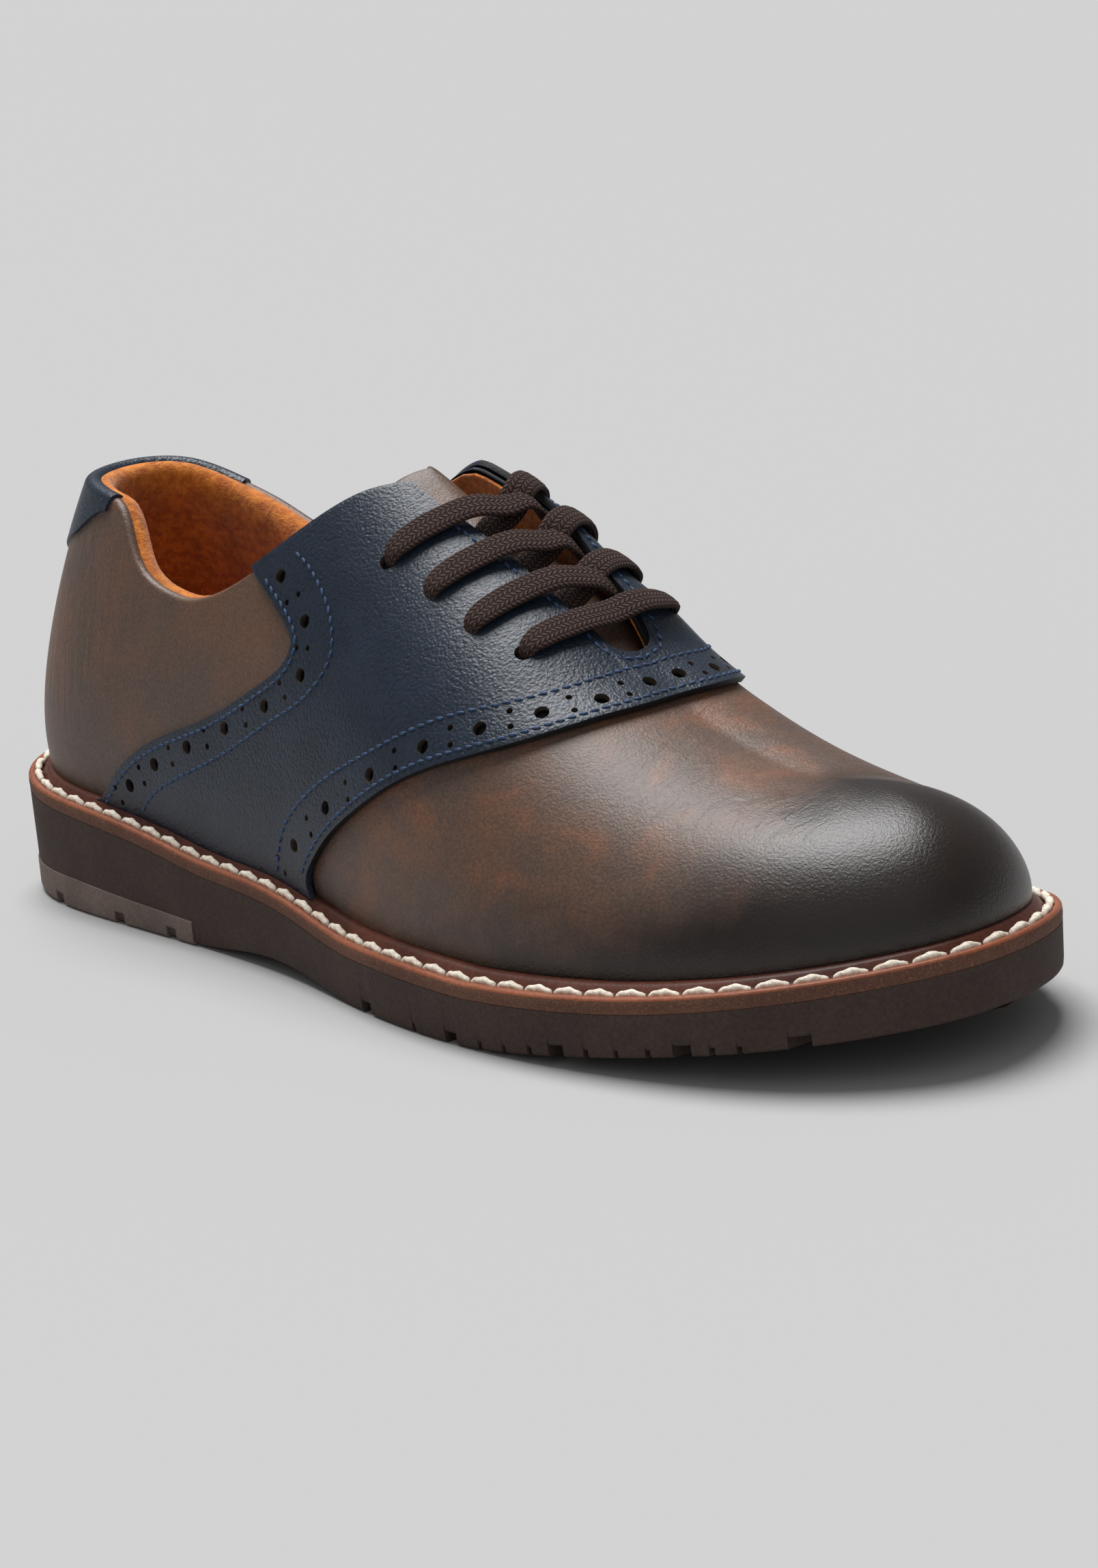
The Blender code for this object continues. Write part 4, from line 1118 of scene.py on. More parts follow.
@dataclass
class Saddle:
    """Panel over the instep: pebbled leather with punched bands, eyelets and seams."""

    last: Last
    wall: float = 1.5 * MM
    gap: float = 0.3 * MM
    large_hole: float = 3.3 * MM
    small_hole: float = 1.5 * MM
    eyelet: float = 4.2 * MM
    pin_offset: float = 2.0 * MM
    pin_length: float = 8.0 * MM
    bead: float = 0.35 * MM
    rim: float = 0.25 * MM
    over_welt: float = 1.0 * MM
    edge_seam: float = 1.9 * MM
    throat_seam: float = 2.6 * MM
    eyelets: tuple = ((0.460, 0.700), (0.515, 0.721), (0.569, 0.736), (0.622, 0.750))
    front_seam: tuple = (
        (0.400, 0.024), (0.410, 0.088), (0.426, 0.148), (0.471, 0.250), (0.530, 0.364),
        (0.592, 0.502), (0.643, 0.633), (0.677, 0.799), (0.693, 1.0),
    )
    front_holes: tuple = (
        (0.431, 0.097), (0.475, 0.200), (0.528, 0.308), (0.581, 0.419), (0.628, 0.526),
        (0.669, 0.652), (0.700, 0.797), (0.711, 0.955),
    )
    back_seam: tuple = (
        (0.220, 0.030), (0.243, 0.084), (0.292, 0.149), (0.345, 0.213), (0.394, 0.289),
        (0.428, 0.356), (0.447, 0.443), (0.439, 0.501), (0.423, 0.539), (0.391, 0.576),
        (0.366, 0.588),
    )
    back_holes: tuple = (
        (0.361, 0.531), (0.406, 0.481), (0.418, 0.387), (0.380, 0.302), (0.332, 0.239),
        (0.285, 0.184), (0.243, 0.132), (0.208, 0.077),
    )

    def height(self, share: Array, rise: Array) -> Array:
        """Height of the outer face over the last."""
        front = ease(share - self.last.front_at(rise), -0.06, 0.0)
        return self.gap + self.wall + self.bead * front

    def start(self, rise: Array, side: Side) -> Array:
        """Share along where the saddle starts at each rise."""
        share = np.linspace(0.25, self.last.throat_end, 900)
        edge = np.maximum.accumulate(self.last.edge(share, side) / RIDGE)
        free = np.interp(rise, edge, share)
        back = self.last.back_at(rise)
        return np.where(rise > edge[0], np.maximum(back, free), back)

    def panel(self, side: Side) -> Mesh:
        """Outer face of one side: rows of equal rise from the back edge to the front edge."""
        last = self.last
        # Rows are close together round the back edge's turn and at the throat's free edge.
        along = np.linspace(0.345, last.throat_end, 84)
        top_rows = np.maximum.accumulate(last.edge(along, side) / RIDGE)
        rows = np.concatenate([np.linspace(0.0, 0.36, 34), np.linspace(0.37, 0.505, 26), [0.52, 0.535],
                               np.linspace(0.55, 0.9, 30), top_rows[top_rows > 0.55], [1.0]])
        rows = np.unique(np.round(rows, 5))
        rows = rows[np.concatenate([[True], np.diff(rows) > 0.0008])]
        rows[-1] = 1.0
        start, end = self.start(rows, side), last.front_at(rows)
        start[-1] = last.throat_end
        spread = np.linspace(0, 1, 62)
        share = start[:, None] + (end - start)[:, None] * spread
        rise = np.repeat(rows[:, None], len(spread), axis=1)
        low = last.climb_at_height(share[0], last.deck(share[0]) + last.welt_wall + self.over_welt)
        rise[0] = low / RIDGE
        rise[1] = (rise[0] + rise[2]) / 2
        return grid(last.spot(share, rise, side, -self.height(share, rise)))

    def spots(self, side: Side) -> list[tuple[Array, float]]:
        """Share and rise of each hole of one side, with its width."""
        found = [(np.array(spot), self.eyelet) for spot in self.eyelets]
        for table, first in ((self.front_holes, False), (self.back_holes, True)):
            big = np.array(table)
            found += [(spot, self.large_hole) for spot in big]
            middles = (big[1:] + big[:-1]) / 2
            if first:
                line = np.concatenate([middles, [1.5 * big[-1] - 0.5 * big[-2]]])
            else:
                line = np.concatenate([[1.5 * big[0] - 0.5 * big[1]], middles])
            for distance in (-self.pin_offset, self.pin_offset):
                found += [(spot, self.small_hole) for spot in self.last.beside(line, side, distance)]
        return found

    def pins(self) -> Mesh:
        """Pins that cut the holes of both sides."""
        made = bmesh.new()
        for side in Side:
            for (share, rise), width in self.spots(side):
                angle, climb = self.last.angle(share, side), np.asarray(rise * RIDGE)
                normal = Vector(self.last.normal(angle, climb))
                middle = Vector(self.last.place(angle, climb, -self.gap - self.wall / 2))
                turned = normal.to_track_quat("Z", "Y").to_matrix().to_4x4()
                bmesh.ops.create_cone(
                    made, cap_ends=True, segments=20 if width > 2 * MM else 12, radius1=width / 2,
                    radius2=width / 2, depth=self.pin_length, matrix=Matrix.Translation(middle) @ turned)
        for face in made.faces:
            face.material_index = 2
        return made

    def thicken(self, skin: Mesh) -> Mesh:
        """Give the panel its wall and painted edge, and punch its holes.

        Args:
            skin: Outer face of the panel, which is used up.

        Returns:
            The panel.
        """
        finishes = (PebbledLeather(), EDGE_PAINT, RAW_EDGE)
        panel, pins = (placed(name, source, finishes)
                       for name, source in (("panel", skin), ("pins", self.pins())))
        wall = panel.modifiers.new("wall", "SOLIDIFY")
        wall.thickness, wall.offset, wall.material_offset_rim = self.wall, -1.0, 1
        rim = panel.modifiers.new("rim", "BEVEL")
        rim.width, rim.segments = self.rim, 2
        rim.limit_method, rim.angle_limit = "ANGLE", np.radians(50)
        holes = panel.modifiers.new("holes", "BOOLEAN")
        holes.object, holes.operation, holes.solver = pins, "DIFFERENCE", "EXACT"
        shaped = panel.evaluated_get(bpy.context.evaluated_depsgraph_get())
        mesh = bpy.data.meshes.new_from_object(shaped)
        made = bmesh.new()
        made.from_mesh(mesh)
        bpy.data.meshes.remove(mesh)
        painted_from = self.last.painted_from * self.last.length - self.last.centre[0]
        for face in made.faces:
            if face.material_index == 1 and face.calc_center_median().x < painted_from:
                face.material_index = 0
        for holder in (panel, pins):
            old = holder.data
            bpy.data.objects.remove(holder)
            bpy.data.meshes.remove(old)
        return made

    def seams(self) -> list[Mesh]:
        """All rows of stitches on the panel."""
        last = self.last
        rise = np.linspace(0.045, 1.0, 60)
        front_edge = np.stack([last.front_at(rise), rise], axis=1)
        back_rise = np.linspace(0.03, 0.497, 50)
        back_edge = np.stack([last.back_at(back_rise), back_rise], axis=1)
        share = np.linspace(last.throat_start + 0.012, last.throat_end - 0.006, 60)
        made = []
        for side in Side:
            throat = np.stack([share, last.edge(share, side) / RIDGE], axis=1)
            end = np.array([[last.throat_end + 0.004, 0.965], [last.throat_end + 0.0085, 1.0]])
            u_line = np.concatenate([last.beside(throat, side, -self.throat_seam), end])
            lines = (self.smooth_line(self.front_seam), last.beside(front_edge, side, self.edge_seam),
                     self.smooth_line(self.back_seam), last.beside(back_edge, side, -self.edge_seam),
                     u_line)
            for line in lines:
                line = line[line[:, 1] <= 1.0]
                height = self.height(line[:, 0], line[:, 1])
                places = last.spot(line[:, 0], line[:, 1], side, -height)
                normals = last.normal(last.angle(line[:, 0], side), line[:, 1] * RIDGE)
                made.append(stitches(places, normals, 2.6 * MM, 2.1 * MM, 0.78 * MM, 0.20 * side.value))
        return made

    def smooth_line(self, table: Sequence[Sequence[float]]) -> Array:
        """Fine rows of share and rise through a table's points."""
        points = np.array(table)
        steps = np.arange(len(points), dtype=float)
        return Curve(steps, points)(np.linspace(0, len(points) - 1, 90))

    def build(self) -> None:
        """Make the panel and its seams."""
        skin = merged([self.panel(side) for side in Side])
        bmesh.ops.recalc_face_normals(skin, faces=skin.faces)
        Piece("saddle_leather", "navy_leather", ("saddle",), 40).publish(
            self.thicken(skin), (PebbledLeather(), EDGE_PAINT, RAW_EDGE))
        Piece("saddle_seams", "navy_leather").publish(merged(self.seams(), 0), (NAVY_THREAD,))


@dataclass
class HeelCollar:
    """Strap over the top of the heel, wrapped over the padded edge."""

    last: Last
    wall: float = 1.2 * MM
    proud: float = 0.8 * MM
    drop: float = 21.0 * MM
    lateral_end: float = 0.108
    medial_end: float = 0.095
    roll: float = 1.5 * MM
    lower_edge: tuple = (
        (0.000, 1.00), (0.015, 0.92), (0.036, 0.70), (0.060, 0.56), (0.080, 0.36), (0.100, 0.20),
        (0.125, 0.15),
    )

    def side_sheet(self, side: Side) -> Mesh:
        """Outer face of one side, from the lower edge over the rolled edge."""
        last = self.last
        end = self.lateral_end if side is Side.LATERAL else self.medial_end
        share = end * (1 - np.cos(np.linspace(0, np.pi / 2, 40)))
        fall = self.drop * Curve(*columns(self.lower_edge, 0, 1))(share * self.lateral_end / end)
        top = last.collar_height * last.collar[side](share)
        low = last.climb_at_height(share, top - fall)
        edge = last.edge(share, side)
        scale = last.climb_scale(share, side, edge)
        around_roll = self.roll + self.proud
        body = low[:, None] + (edge - self.roll / scale - low)[:, None] * np.linspace(0, 1, 16)
        angle = np.radians(np.linspace(12, 150, 12))
        around = edge[:, None] + (around_roll * np.sin(angle) - self.roll) / scale[:, None]
        climb = np.concatenate([body, around], axis=1)
        over = np.repeat((self.roll - around_roll * np.cos(angle))[None], len(share), axis=0)
        depth = np.concatenate([np.full_like(body, -self.proud), over], axis=1)
        return grid(last.place(last.angle(share, side)[:, None], climb, depth))

    def end_seam(self, side: Side) -> Mesh:
        """Stitches across the strap's end."""
        last = self.last
        end = (self.lateral_end if side is Side.LATERAL else self.medial_end) - 0.006
        share = np.full(8, end)
        above = np.linspace(-3.0, -0.8, 8) * MM
        places = last.by_edge(share, side, above, np.full(8, -self.wall - 0.4 * MM))
        climb = last.edge(share, side)
        normals = last.normal(last.angle(share, side), climb)
        return stitches(places, normals, 1.8 * MM, 1.4 * MM, 0.55 * MM)

    def build(self) -> None:
        """Make the strap and its stitches."""
        bm = merged([self.side_sheet(side) for side in Side])
        bmesh.ops.recalc_face_normals(bm, faces=bm.faces)
        bmesh.ops.solidify(bm, geom=list(bm.faces), thickness=self.wall)
        Piece("heel_strap", "navy_leather", ("heel_collar",), 50).publish(bm, (PebbledLeather(),))
        seams = merged([self.end_seam(side) for side in Side], 0)
        Piece("heel_strap_seams", "navy_leather").publish(seams, (NAVY_THREAD,))


@dataclass
class Tongue:
    """Tongue under the facings, rounded at its top.

    Attributes:
        seat: Depth of its outer face under the last's surface.
        cap: Share along that the rounded end adds.
        side_drop, crown_rise: how far the top's sides sink and its middle stands up.
        tuck: How much deeper its lower end lies, under the vamp.
        rows: Share along and share of the width.
    """

    last: Last
    wall: float = 2.6 * MM
    seat: float = 2.9 * MM
    width: float = 52.0 * MM
    cap: float = 0.031
    side_drop: float = 0.6 * MM
    crown_rise: float = 1.4 * MM
    tuck: float = 3.0 * MM
    warmth: float = 0.4
    rows: tuple = (
        (0.730, 0.56), (0.690, 0.70), (0.650, 0.78), (0.600, 0.86), (0.550, 0.90), (0.500, 0.92),
        (0.460, 0.92), (0.430, 0.86), (0.408, 0.76),
    )

    def build(self) -> None:
        """Make the tongue: its rows, then a round cap past the last of them."""
        last = self.last
        shares, widths = columns(self.rows, 0, 1)
        steps = np.arange(len(shares), dtype=float)
        fine = np.linspace(0, len(shares) - 1, 56)
        bow = np.linspace(0, 1.43, 30)[1:]
        share = np.concatenate([Curve(steps, shares)(fine), shares[-1] - self.cap * np.sin(bow)])
        wide = np.concatenate([Curve(steps, widths)(fine), widths[-1] * np.cos(bow)])
        slim = np.concatenate([np.ones(len(fine)), np.cos(bow) ** 0.3])[:, None]
        half = wide * self.width / 2
        first = last.climb_at_width(share, Side.LATERAL, half)[:, None]
        final = np.pi - last.climb_at_width(share, Side.MEDIAL, half)[:, None]
        around = np.linspace(0, 2 * np.pi, 81)
        across = -np.sign(np.cos(around)) * np.abs(np.cos(around)) ** 0.8
        over = np.sign(np.sin(around)) * np.abs(np.sin(around)) ** 0.45
        climb = (first + final) / 2 + (final - first) / 2 * across
        angle = np.repeat(turn(share)[:, None], climb.shape[1], axis=1)
        crown = np.sqrt(np.clip(1 - across ** 2, 0, 1))
        # place() adds the lift; taken off here, the tongue lies on the plain last.
        depth = self.seat + self.wall / 2 * (1 - slim * over) + last.lift(angle, climb)
        depth = depth + (self.side_drop - self.crown_rise * crown) * ease(share, 0.46, 0.38)[:, None]
        depth = depth + self.tuck * ease(share, 0.60, 0.66)[:, None]
        plain = np.zeros_like(climb)
        layers = {name: plain for name in ("burnish_and_shade", "saddle_hole_shade", "crease", "upright")}
        bm = closed(grid(last.place(angle, climb, depth), {**layers, "warmth": plain + self.warmth}))
        Piece("tongue_leather", "brown_leather", ("tongue",), 60).publish(bm, (BurnishedLeatherWithPaintedShade(),))


@dataclass
class Laces:
    """Flat braided lace: three crossings and the bar at the throat's end.

    Attributes:
        run: Rows of step along, side (0 near, 1 crossed), rise, height over the panel in mm for a run
            that lies over, height for one that lies under, and width in mm.
        bar: The same for the bar, with one height.
    """

    last: Last
    saddle: Saddle
    thickness: float = 1.8 * MM
    plain_width: float = 6.6 * MM
    ribs: int = 12
    rib_height: float = 0.030
    run: tuple = (
        (0.000, 0, 0.696, -3.4, -3.4, 3.4), (0.000, 0, 0.704, -1.2, -1.2, 3.8),
        (0.001, 0, 0.718, 0.7, 0.7, 5.0), (0.003, 0, 0.760, 1.4, 1.4, 6.6),
        (0.007, 0, 0.828, 1.5, 1.4, 7.0), (0.011, 0, 0.892, 2.0, 1.2, 7.0),
        (0.017, 0, 0.955, 3.0, 0.5, 7.0), (0.023, 0, 1.000, 2.5, -0.6, 6.9),
        (0.030, 1, 0.965, 0.8, -1.6, 6.7), (0.037, 1, 0.930, -1.9, -2.8, 6.2),
        (0.042, 1, 0.890, -3.4, -3.8, 5.6), (0.050, 1, 0.840, -4.0, -4.2, 5.0),
        (0.055, 1, 0.770, -4.0, -4.2, 4.4),
    )
    bar: tuple = (
        (0.000, 0, 0.746, -3.4, 0, 3.4), (0.000, 0, 0.754, -1.2, 0, 3.8),
        (0.001, 0, 0.768, 0.7, 0, 5.0), (0.003, 0, 0.806, 1.4, 0, 6.6),
        (0.007, 0, 0.872, 1.5, 0, 7.0), (0.011, 0, 0.935, 1.9, 0, 7.0), (0.014, 0, 1.000, 2.3, 0, 7.0),
        (0.014, 1, 0.935, 2.1, 0, 7.0), (0.011, 1, 0.870, 1.7, 0, 6.8), (0.006, 1, 0.800, 1.4, 0, 6.2),
        (0.002, 1, 0.763, 0.7, 0, 4.8), (0.000, 1, 0.747, -1.2, 0, 4.0), (0.000, 1, 0.740, -3.4, 0, 3.6),
    )

    def strand(self, eyelet: Sequence[float], side: Side, table: Sequence, column: int) -> Mesh:
        """One run of the lace.

        Args:
            eyelet: Share and rise of the eyelet that it leaves.
            side: Side of that eyelet.
            table: Rows of the run.
            column: Column of the heights.

        Returns:
            The mesh under work.
        """
        last = self.last
        over = self.saddle.gap + self.saddle.wall
        other = Side.MEDIAL if side is Side.LATERAL else Side.LATERAL
        points, normals = [], []
        for row in table:
            where = other if row[1] else side
            share = eyelet[0] + row[0]
            points.append(last.spot(share, row[2], where, -(over + row[column] * MM)))
            normals.append(last.normal(last.angle(share, where), np.asarray(row[2] * RIDGE)))
        points, normals = np.array(points), np.array(normals)
        gone = run_length(points)
        fine = np.linspace(0, gone[-1], 90)
        path, facing = Curve(gone, points)(fine), unit(Curve(gone, normals)(fine))
        width = np.interp(fine, gone, np.array([row[5] for row in table]) * MM)
        thick = self.thickness * (1 + 0.6 * (1 - width / self.plain_width))
        return tube(path, facing, width, thick, 36, self.ribbed)

    def ribbed(self, angle: Array, along: Array) -> Array:
        """Swell of the braid's lengthwise ribs, the same all along."""
        return 1 + self.rib_height * np.cos(self.ribs * angle) * np.ones_like(along)

    def build(self) -> None:
        """Make the crossings and the bar."""
        for number, eyelet in enumerate(self.saddle.eyelets[:-1], start=1):
            near = self.strand(eyelet, Side.LATERAL, self.run, 3)
            far = self.strand(eyelet, Side.MEDIAL, self.run, 4)
            name = "lace_row_%d" % number
            Piece("braid_row_%d" % number, "lace", (name,), 80).publish(merged([near, far], 0), (Braid(),))
        bar = self.strand(self.saddle.eyelets[-1], Side.LATERAL, self.bar, 3)
        Piece("braid_bar", "lace", ("lace_bar",), 80).publish(bar, (Braid(),))


@dataclass
class Welt:
    """Strip round the sole with a raised lip, and the cream seam in its groove.

    Attributes:
        profile: Share of the width from the outer edge, height in mm over the deck, finish index.
    """

    last: Last
    pitch: float = 8.0 * MM
    thread: float = 1.7 * MM
    twists: float = 16.0
    profile: tuple = (
        (1.00, 0.10, 0), (0.02, 0.00, 0), (0.00, 0.30, 0), (-0.015, 1.5, 0), (0.00, 2.9, 0),
        (0.04, 3.35, 1), (0.10, 3.50, 1), (0.20, 3.50, 1), (0.25, 3.20, 1), (0.30, 2.70, 1),
        (0.42, 2.45, 2), (0.52, 2.70, 2), (0.60, 3.40, 2), (0.70, 4.30, 2), (0.80, 4.75, 2),
        (0.92, 4.90, 2), (1.02, 4.80, 2), (1.06, 4.00, 2),
    )

    def ring(self) -> Mesh:
        """The strip itself."""
        last = self.last
        angle = np.linspace(0, 2 * np.pi, 401)
        share = last.outline(angle)[0]
        table = np.array([row[:2] for row in self.profile])
        inset = last.welt_share(share)[:, None] * last.welt_width * table[:, 0]
        _, x, y = last.outline(angle[:, None], inset)
        z = last.deck(share)[:, None] + table[:, 1] * MM
        places = np.stack([x, y, z], axis=-1) - last.centre
        rows = np.repeat(np.arange(len(self.profile))[None, :].astype(float), len(angle), axis=0)
        bm = grid(places, {"row": rows})
        bmesh.ops.remove_doubles(bm, verts=bm.verts, dist=1e-6)
        layer = bm.verts.layers.float["row"]
        for face in bm.faces:
            row = int(round(max(vertex[layer] for vertex in face.verts)))
            face.material_index = self.profile[row][2]
        return bm

    def seam(self) -> Mesh:
        """Arched, twisted stitches in the groove."""
        last = self.last
        fine = np.linspace(0, 2 * np.pi, 2000)
        share = last.outline(fine)[0]
        width = last.welt_share(share) * last.welt_width
        _, x, y = last.outline(fine, 0.38 * width)
        line = np.stack([x, y, last.deck(share) + 2.9 * MM], axis=-1) - last.centre
        gone = run_length(line)
        count = int(round(gone[-1] / self.pitch))
        step = gone[-1] / count
        arch = np.linspace(0, 1, 13)
        parts = []
        for number in range(count):
            stops = (number + 0.03 + 0.94 * arch) * step
            path = np.stack([np.interp(stops, gone, column) for column in line.T], axis=1)
            path[:, 2] += (1.15 * np.sin(np.pi * arch) ** 0.7 - 0.35) * MM
            swell = self.thread * (0.55 + 0.45 * np.sin(np.pi * arch) ** 0.6)
            up = np.repeat([[0.0, 0.0, 1.0]], len(path), axis=0)
            parts.append(tube(path, up, swell, swell, 12, self.twist))
        return merged(parts, 0)

    def twist(self, angle: Array, along: Array) -> Array:
        """Swell of the thread's two twisted strands."""
        return 1 + 0.16 * np.cos(2 * angle + self.twists * along)

    def build(self) -> None:
        """Make the strip and its seam."""
        bm = self.ring()
        bmesh.ops.recalc_face_normals(bm, faces=bm.faces)
        Piece("welt_strip", "welt", ("welt",), 60).publish(bm, (WELT_EDGE, WELT_TOP_HIGHLIGHT, WELT_LIP))
        Piece("welt_seam", "welt", (), 80).publish(self.seam(), (CREAM_THREAD,))


@dataclass
class Sole:
    """Outsole with its cut tread, the heel's inlay and the insole.

    Attributes:
        cuts: Place along the sole in metres, width and depth in mm of each cut at the edge.
        inlay_cuts: The same for the inlay.
        inlay_top: Place along the sole in metres and height in mm of the inlay's top line.
        sock: Inset and height over the deck in mm of the insole's rings, from the top one down.
    """

    last: Last
    radius: float = 1.2 * MM
    draft: float = 0.25 * MM
    corner_inset: float = 0.3 * MM
    inlay_end: float = 0.090
    inlay_room: float = 0.5 * MM
    inlay_inset: float = -0.12 * MM
    inlay_chamfer: float = 0.2 * MM
    cuts: tuple = (
        (0.1665, 4.0, 2.4), (0.1856, 1.2, 1.6), (0.1986, 4.0, 2.4), (0.2079, 1.2, 1.6),
        (0.2151, 1.0, 1.4), (0.2225, 1.2, 1.6), (0.2297, 4.0, 2.4), (0.2375, 1.2, 1.6),
        (0.2449, 1.0, 1.4), (0.2524, 1.2, 1.6), (0.2600, 4.0, 2.4), (0.2663, 1.2, 1.6),
        (0.2717, 1.0, 1.4), (0.2824, 4.0, 2.4),
    )
    inlay_cuts: tuple = ((0.0318, 4.0, 2.4), (0.0594, 4.0, 2.4), (0.0810, 4.0, 2.4))
    inlay_top: tuple = ((0.000, 8.3), (0.015, 8.1), (0.040, 8.1), (0.065, 6.8), (0.088, 5.9))
    sock: tuple = ((14.5, 3.6), (12.5, 3.4), (10.0, 3.9), (9.0, 2.5), (9.5, 0.3))

    def stations(self, cuts: Sequence, low: float, high: float) -> Array:
        """Shares along, with a pair at each wall of each cut."""
        even = crowded(190)
        kept = even[(even > low) & (even < high)]
        walls = [(x + sign * (w / 2 * MM + tiny * MM)) / self.last.length
                 for x, w, _ in cuts for sign in (-1, 1) for tiny in (-0.03, 0.03)]
        walls = [wall for wall in walls if low < wall < high]
        return np.unique(np.concatenate([[low], kept, walls, [high]]))

    def roof(self, share: Array, cuts: Sequence) -> Array:
        """Height of the underside, raised in the cuts."""
        lifted = np.zeros_like(share)
        for x, w, depth in cuts:
            inside = np.abs(share * self.last.length - x) < w / 2 * MM
            lifted = np.where(inside, np.maximum(lifted, depth * MM), lifted)
        return self.last.tread(share) + lifted

    def slab(self, share: Array, levels: Sequence[tuple[Array, Array]]) -> Mesh:
        """Closed slab with the sole's plan.

        Args:
            share: Shares along of the sections.
            levels: Inset and height of each ring, from the top one down.

        Returns:
            The mesh under work.
        """
        last = self.last
        parts = []
        for side in Side:
            angle = last.angle(share, side)
            rings = []
            for inset, height in levels:
                _, x, y = last.outline(angle, inset)
                rings.append(np.stack([x, y, np.broadcast_to(height, x.shape)], axis=-1))
            spine = (last.width_at(turn(share)) + last.width_at(2 * np.pi - turn(share))) / 2
            for where, ring in ((0, rings[0]), (len(rings) + 1, rings[-1])):
                middle = ring.copy()
                middle[:, 0] = share * last.length
                middle[:, 1] = spine
                rings.insert(where, middle)
            parts.append(grid(np.stack(rings, axis=1) - last.centre))
        return closed(merged(parts, 0), 4e-6)

    def corner(self, start: float, floor: Array, degrees: Sequence[float]) -> list[tuple[float, Array]]:
        """Rings round the lower edge, from an inset and down to the floor."""
        return [(start + self.radius * (1 - np.cos(angle)), floor + self.radius * (1 - np.sin(angle)))
                for angle in np.radians(degrees)]

    def outsole(self) -> Mesh:
        """Sole with its cuts, and with room for the inlay under its heel."""
        share = self.stations(self.cuts, 0.0, 1.0)
        floor = self.roof(share, self.cuts)
        under = np.where(share * self.last.length < self.inlay_end, floor + self.inlay_room, floor)
        top = self.last.deck(share)
        levels = [(0.0, top)]
        for part in (0.35, 0.65, 0.9):
            levels.append((self.draft * part, top + (under + self.radius - top) * part))
        levels += self.corner(self.corner_inset, under, (20, 45, 70, 90))
        return self.slab(share, [(inset, np.maximum(height, under)) for inset, height in levels])

    def inlay(self) -> Mesh:
        """Block in the back of the heel, a little proud of the sole."""
        share = self.stations(self.inlay_cuts, 0.0, self.inlay_end / self.last.length)
        floor = self.roof(share, self.inlay_cuts)
        line = np.interp(share * self.last.length, *columns(self.inlay_top, 0, 1)) * MM
        proud, chamfer = self.inlay_inset, self.inlay_chamfer
        middle = np.maximum((line + floor + self.radius) / 2, floor)
        levels = [(proud + chamfer, line), (proud, line - chamfer), (proud, middle)]
        return self.slab(share, levels + self.corner(proud, floor, (0, 30, 60, 90)))

    def insole(self) -> Mesh:
        """Sock that lies on the sole inside the upper."""
        share = crowded(120, 0.06)
        deck = self.last.deck(share)
        return self.slab(share, [(inset * MM, deck + height * MM) for inset, height in self.sock])

    def build(self) -> None:
        """Make the outsole, the inlay and the insole."""
        Piece("sole_unit", "sole_foam", ("outsole",), 35).publish(self.outsole(), (SOLE_FOAM,))
        Piece("heel_block", "heel_rubber", ("heel_inlay",), 35).publish(self.inlay(), (HEEL_RUBBER,))
        Piece("insole_sock", "lining_suede", ("insole",), 60).publish(self.insole(), (Suede(),))


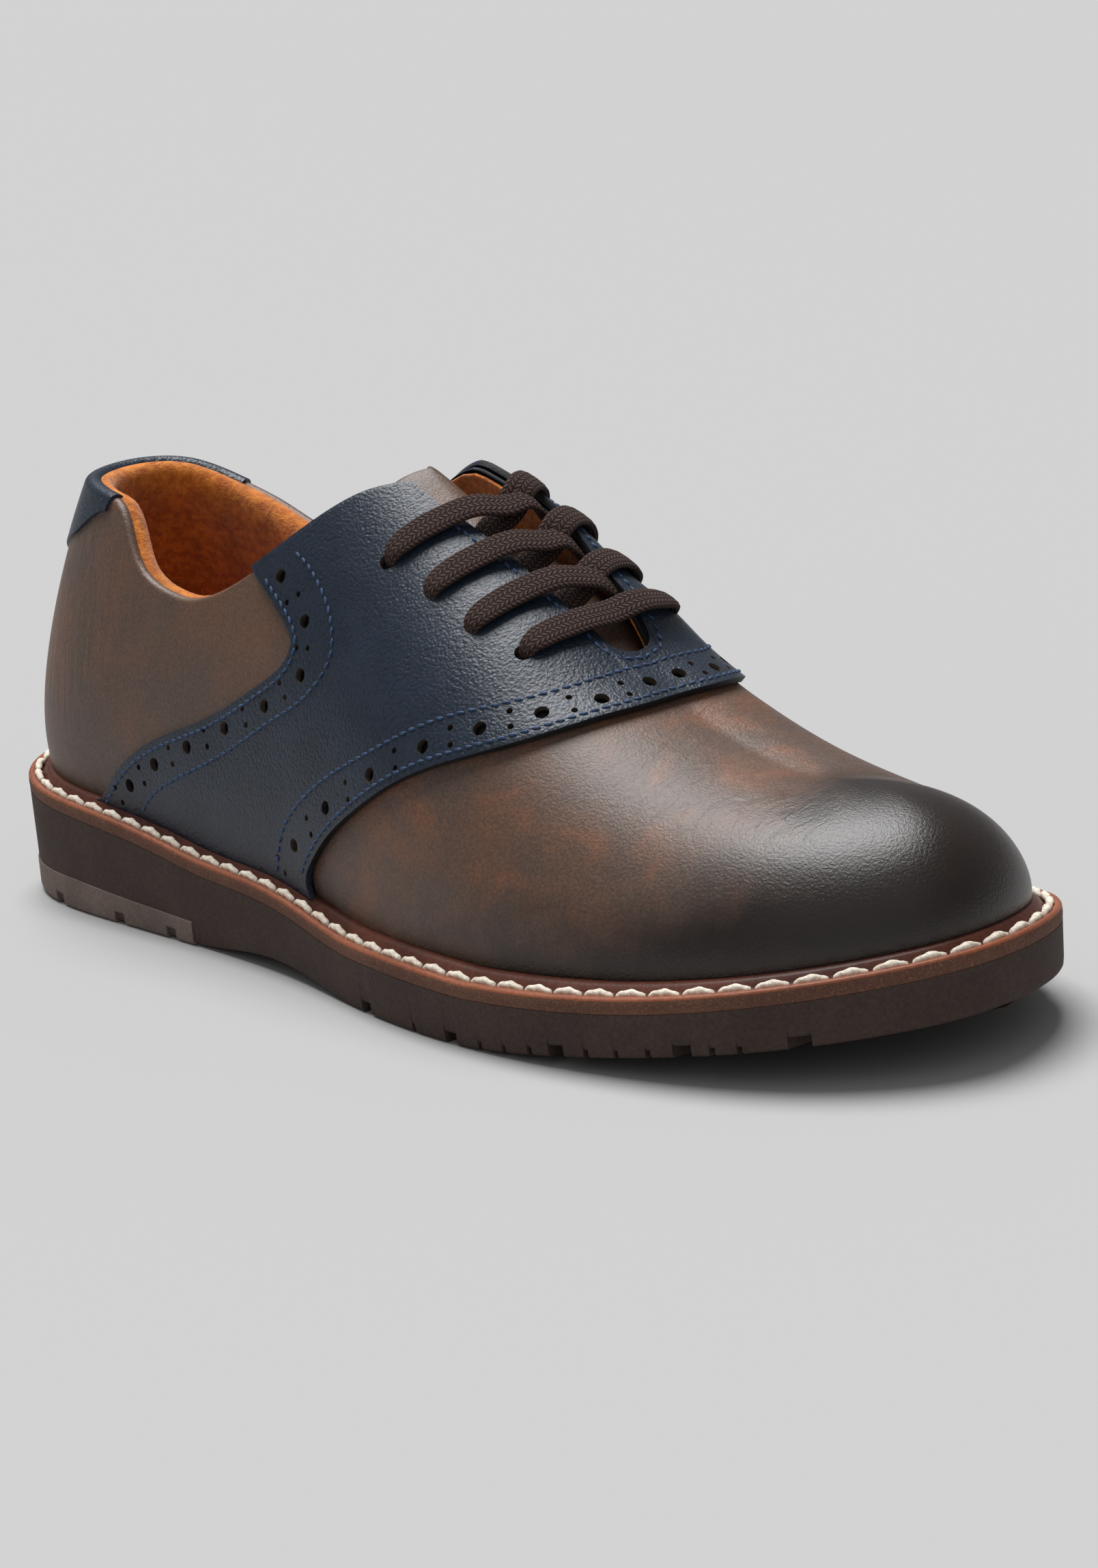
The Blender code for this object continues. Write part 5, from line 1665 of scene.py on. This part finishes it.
@dataclass
class Studio:
    """Pale floor, soft lights and the camera at the photograph's angle.

    Attributes:
        lights: Name, direction of the source, spread in degrees and strength.
    """

    last: Last
    azimuth: float = 0.86776645
    elevation: float = 0.25120887
    distance: float = 1.14378323
    roll: float = -0.09064571
    lens: float = 95.08484
    target: tuple = (0.00258516, 0.14462842, -0.01700942)
    room: float = 0.20
    floor_size: float = 14.0
    sensor: float = 36.0
    lights: tuple = (("key", (-0.32, 0.12, 0.92), 38.0, 4.05), ("fill", (0.55, -0.65, 0.75), 80.0, 0.30))

    def camera(self) -> None:
        """Put the camera where the photograph was taken from."""
        sin, cos = np.sin, np.cos
        back = np.array([sin(self.azimuth) * cos(self.elevation), -cos(self.azimuth) * cos(self.elevation),
                         sin(self.elevation)])
        right = unit(np.cross(-back, (0.0, 0.0, 1.0)))
        up = np.cross(right, -back)
        across = cos(self.roll) * right + sin(self.roll) * up
        upwards = -sin(self.roll) * right + cos(self.roll) * up
        data = bpy.data.cameras.new("camera")
        data.lens = self.lens
        data.sensor_width = self.sensor
        data.clip_start, data.clip_end = 0.05, 60.0
        camera = bpy.data.objects.new("camera", data)
        bpy.context.collection.objects.link(camera)
        axes = Matrix((across, upwards, back)).transposed().to_4x4()
        where = np.array(self.target) + back * self.distance - self.last.centre
        camera.matrix_world = Matrix.Translation(where) @ axes
        bpy.context.scene.camera = camera

    def build(self) -> None:
        """Make the floor, the lights and the camera."""
        bm = bmesh.new()
        bmesh.ops.create_grid(bm, x_segments=8, y_segments=8, size=self.floor_size)
        placed("floor", bm, (Paper(),))
        world = bpy.data.worlds.new("room")
        world.use_nodes = True
        sky = world.node_tree.nodes["Background"]
        sky.inputs["Color"].default_value = (1.0, 1.0, 1.0, 1.0)
        sky.inputs["Strength"].default_value = self.room
        bpy.context.scene.world = world
        for name, source, spread, strength in self.lights:
            data = bpy.data.lights.new(name, "SUN")
            data.angle, data.energy = np.radians(spread), strength
            light = bpy.data.objects.new(name, data)
            light.rotation_euler = (-Vector(source)).to_track_quat("-Z", "Y").to_euler()
            bpy.context.collection.objects.link(light)
        bpy.context.scene.view_settings.view_transform = "Standard"
        self.camera()


def main() -> None:
    """Build the shoe and its studio."""
    logging.basicConfig(level=logging.INFO, format="%(message)s")
    last = Last()
    saddle = Saddle(last)
    Studio(last).build()
    Upper(last).build()
    saddle.build()
    HeelCollar(last).build()
    Tongue(last).build()
    Laces(last, saddle).build()
    Welt(last).build()
    Sole(last).build()


if __name__ == "__main__":
    main()
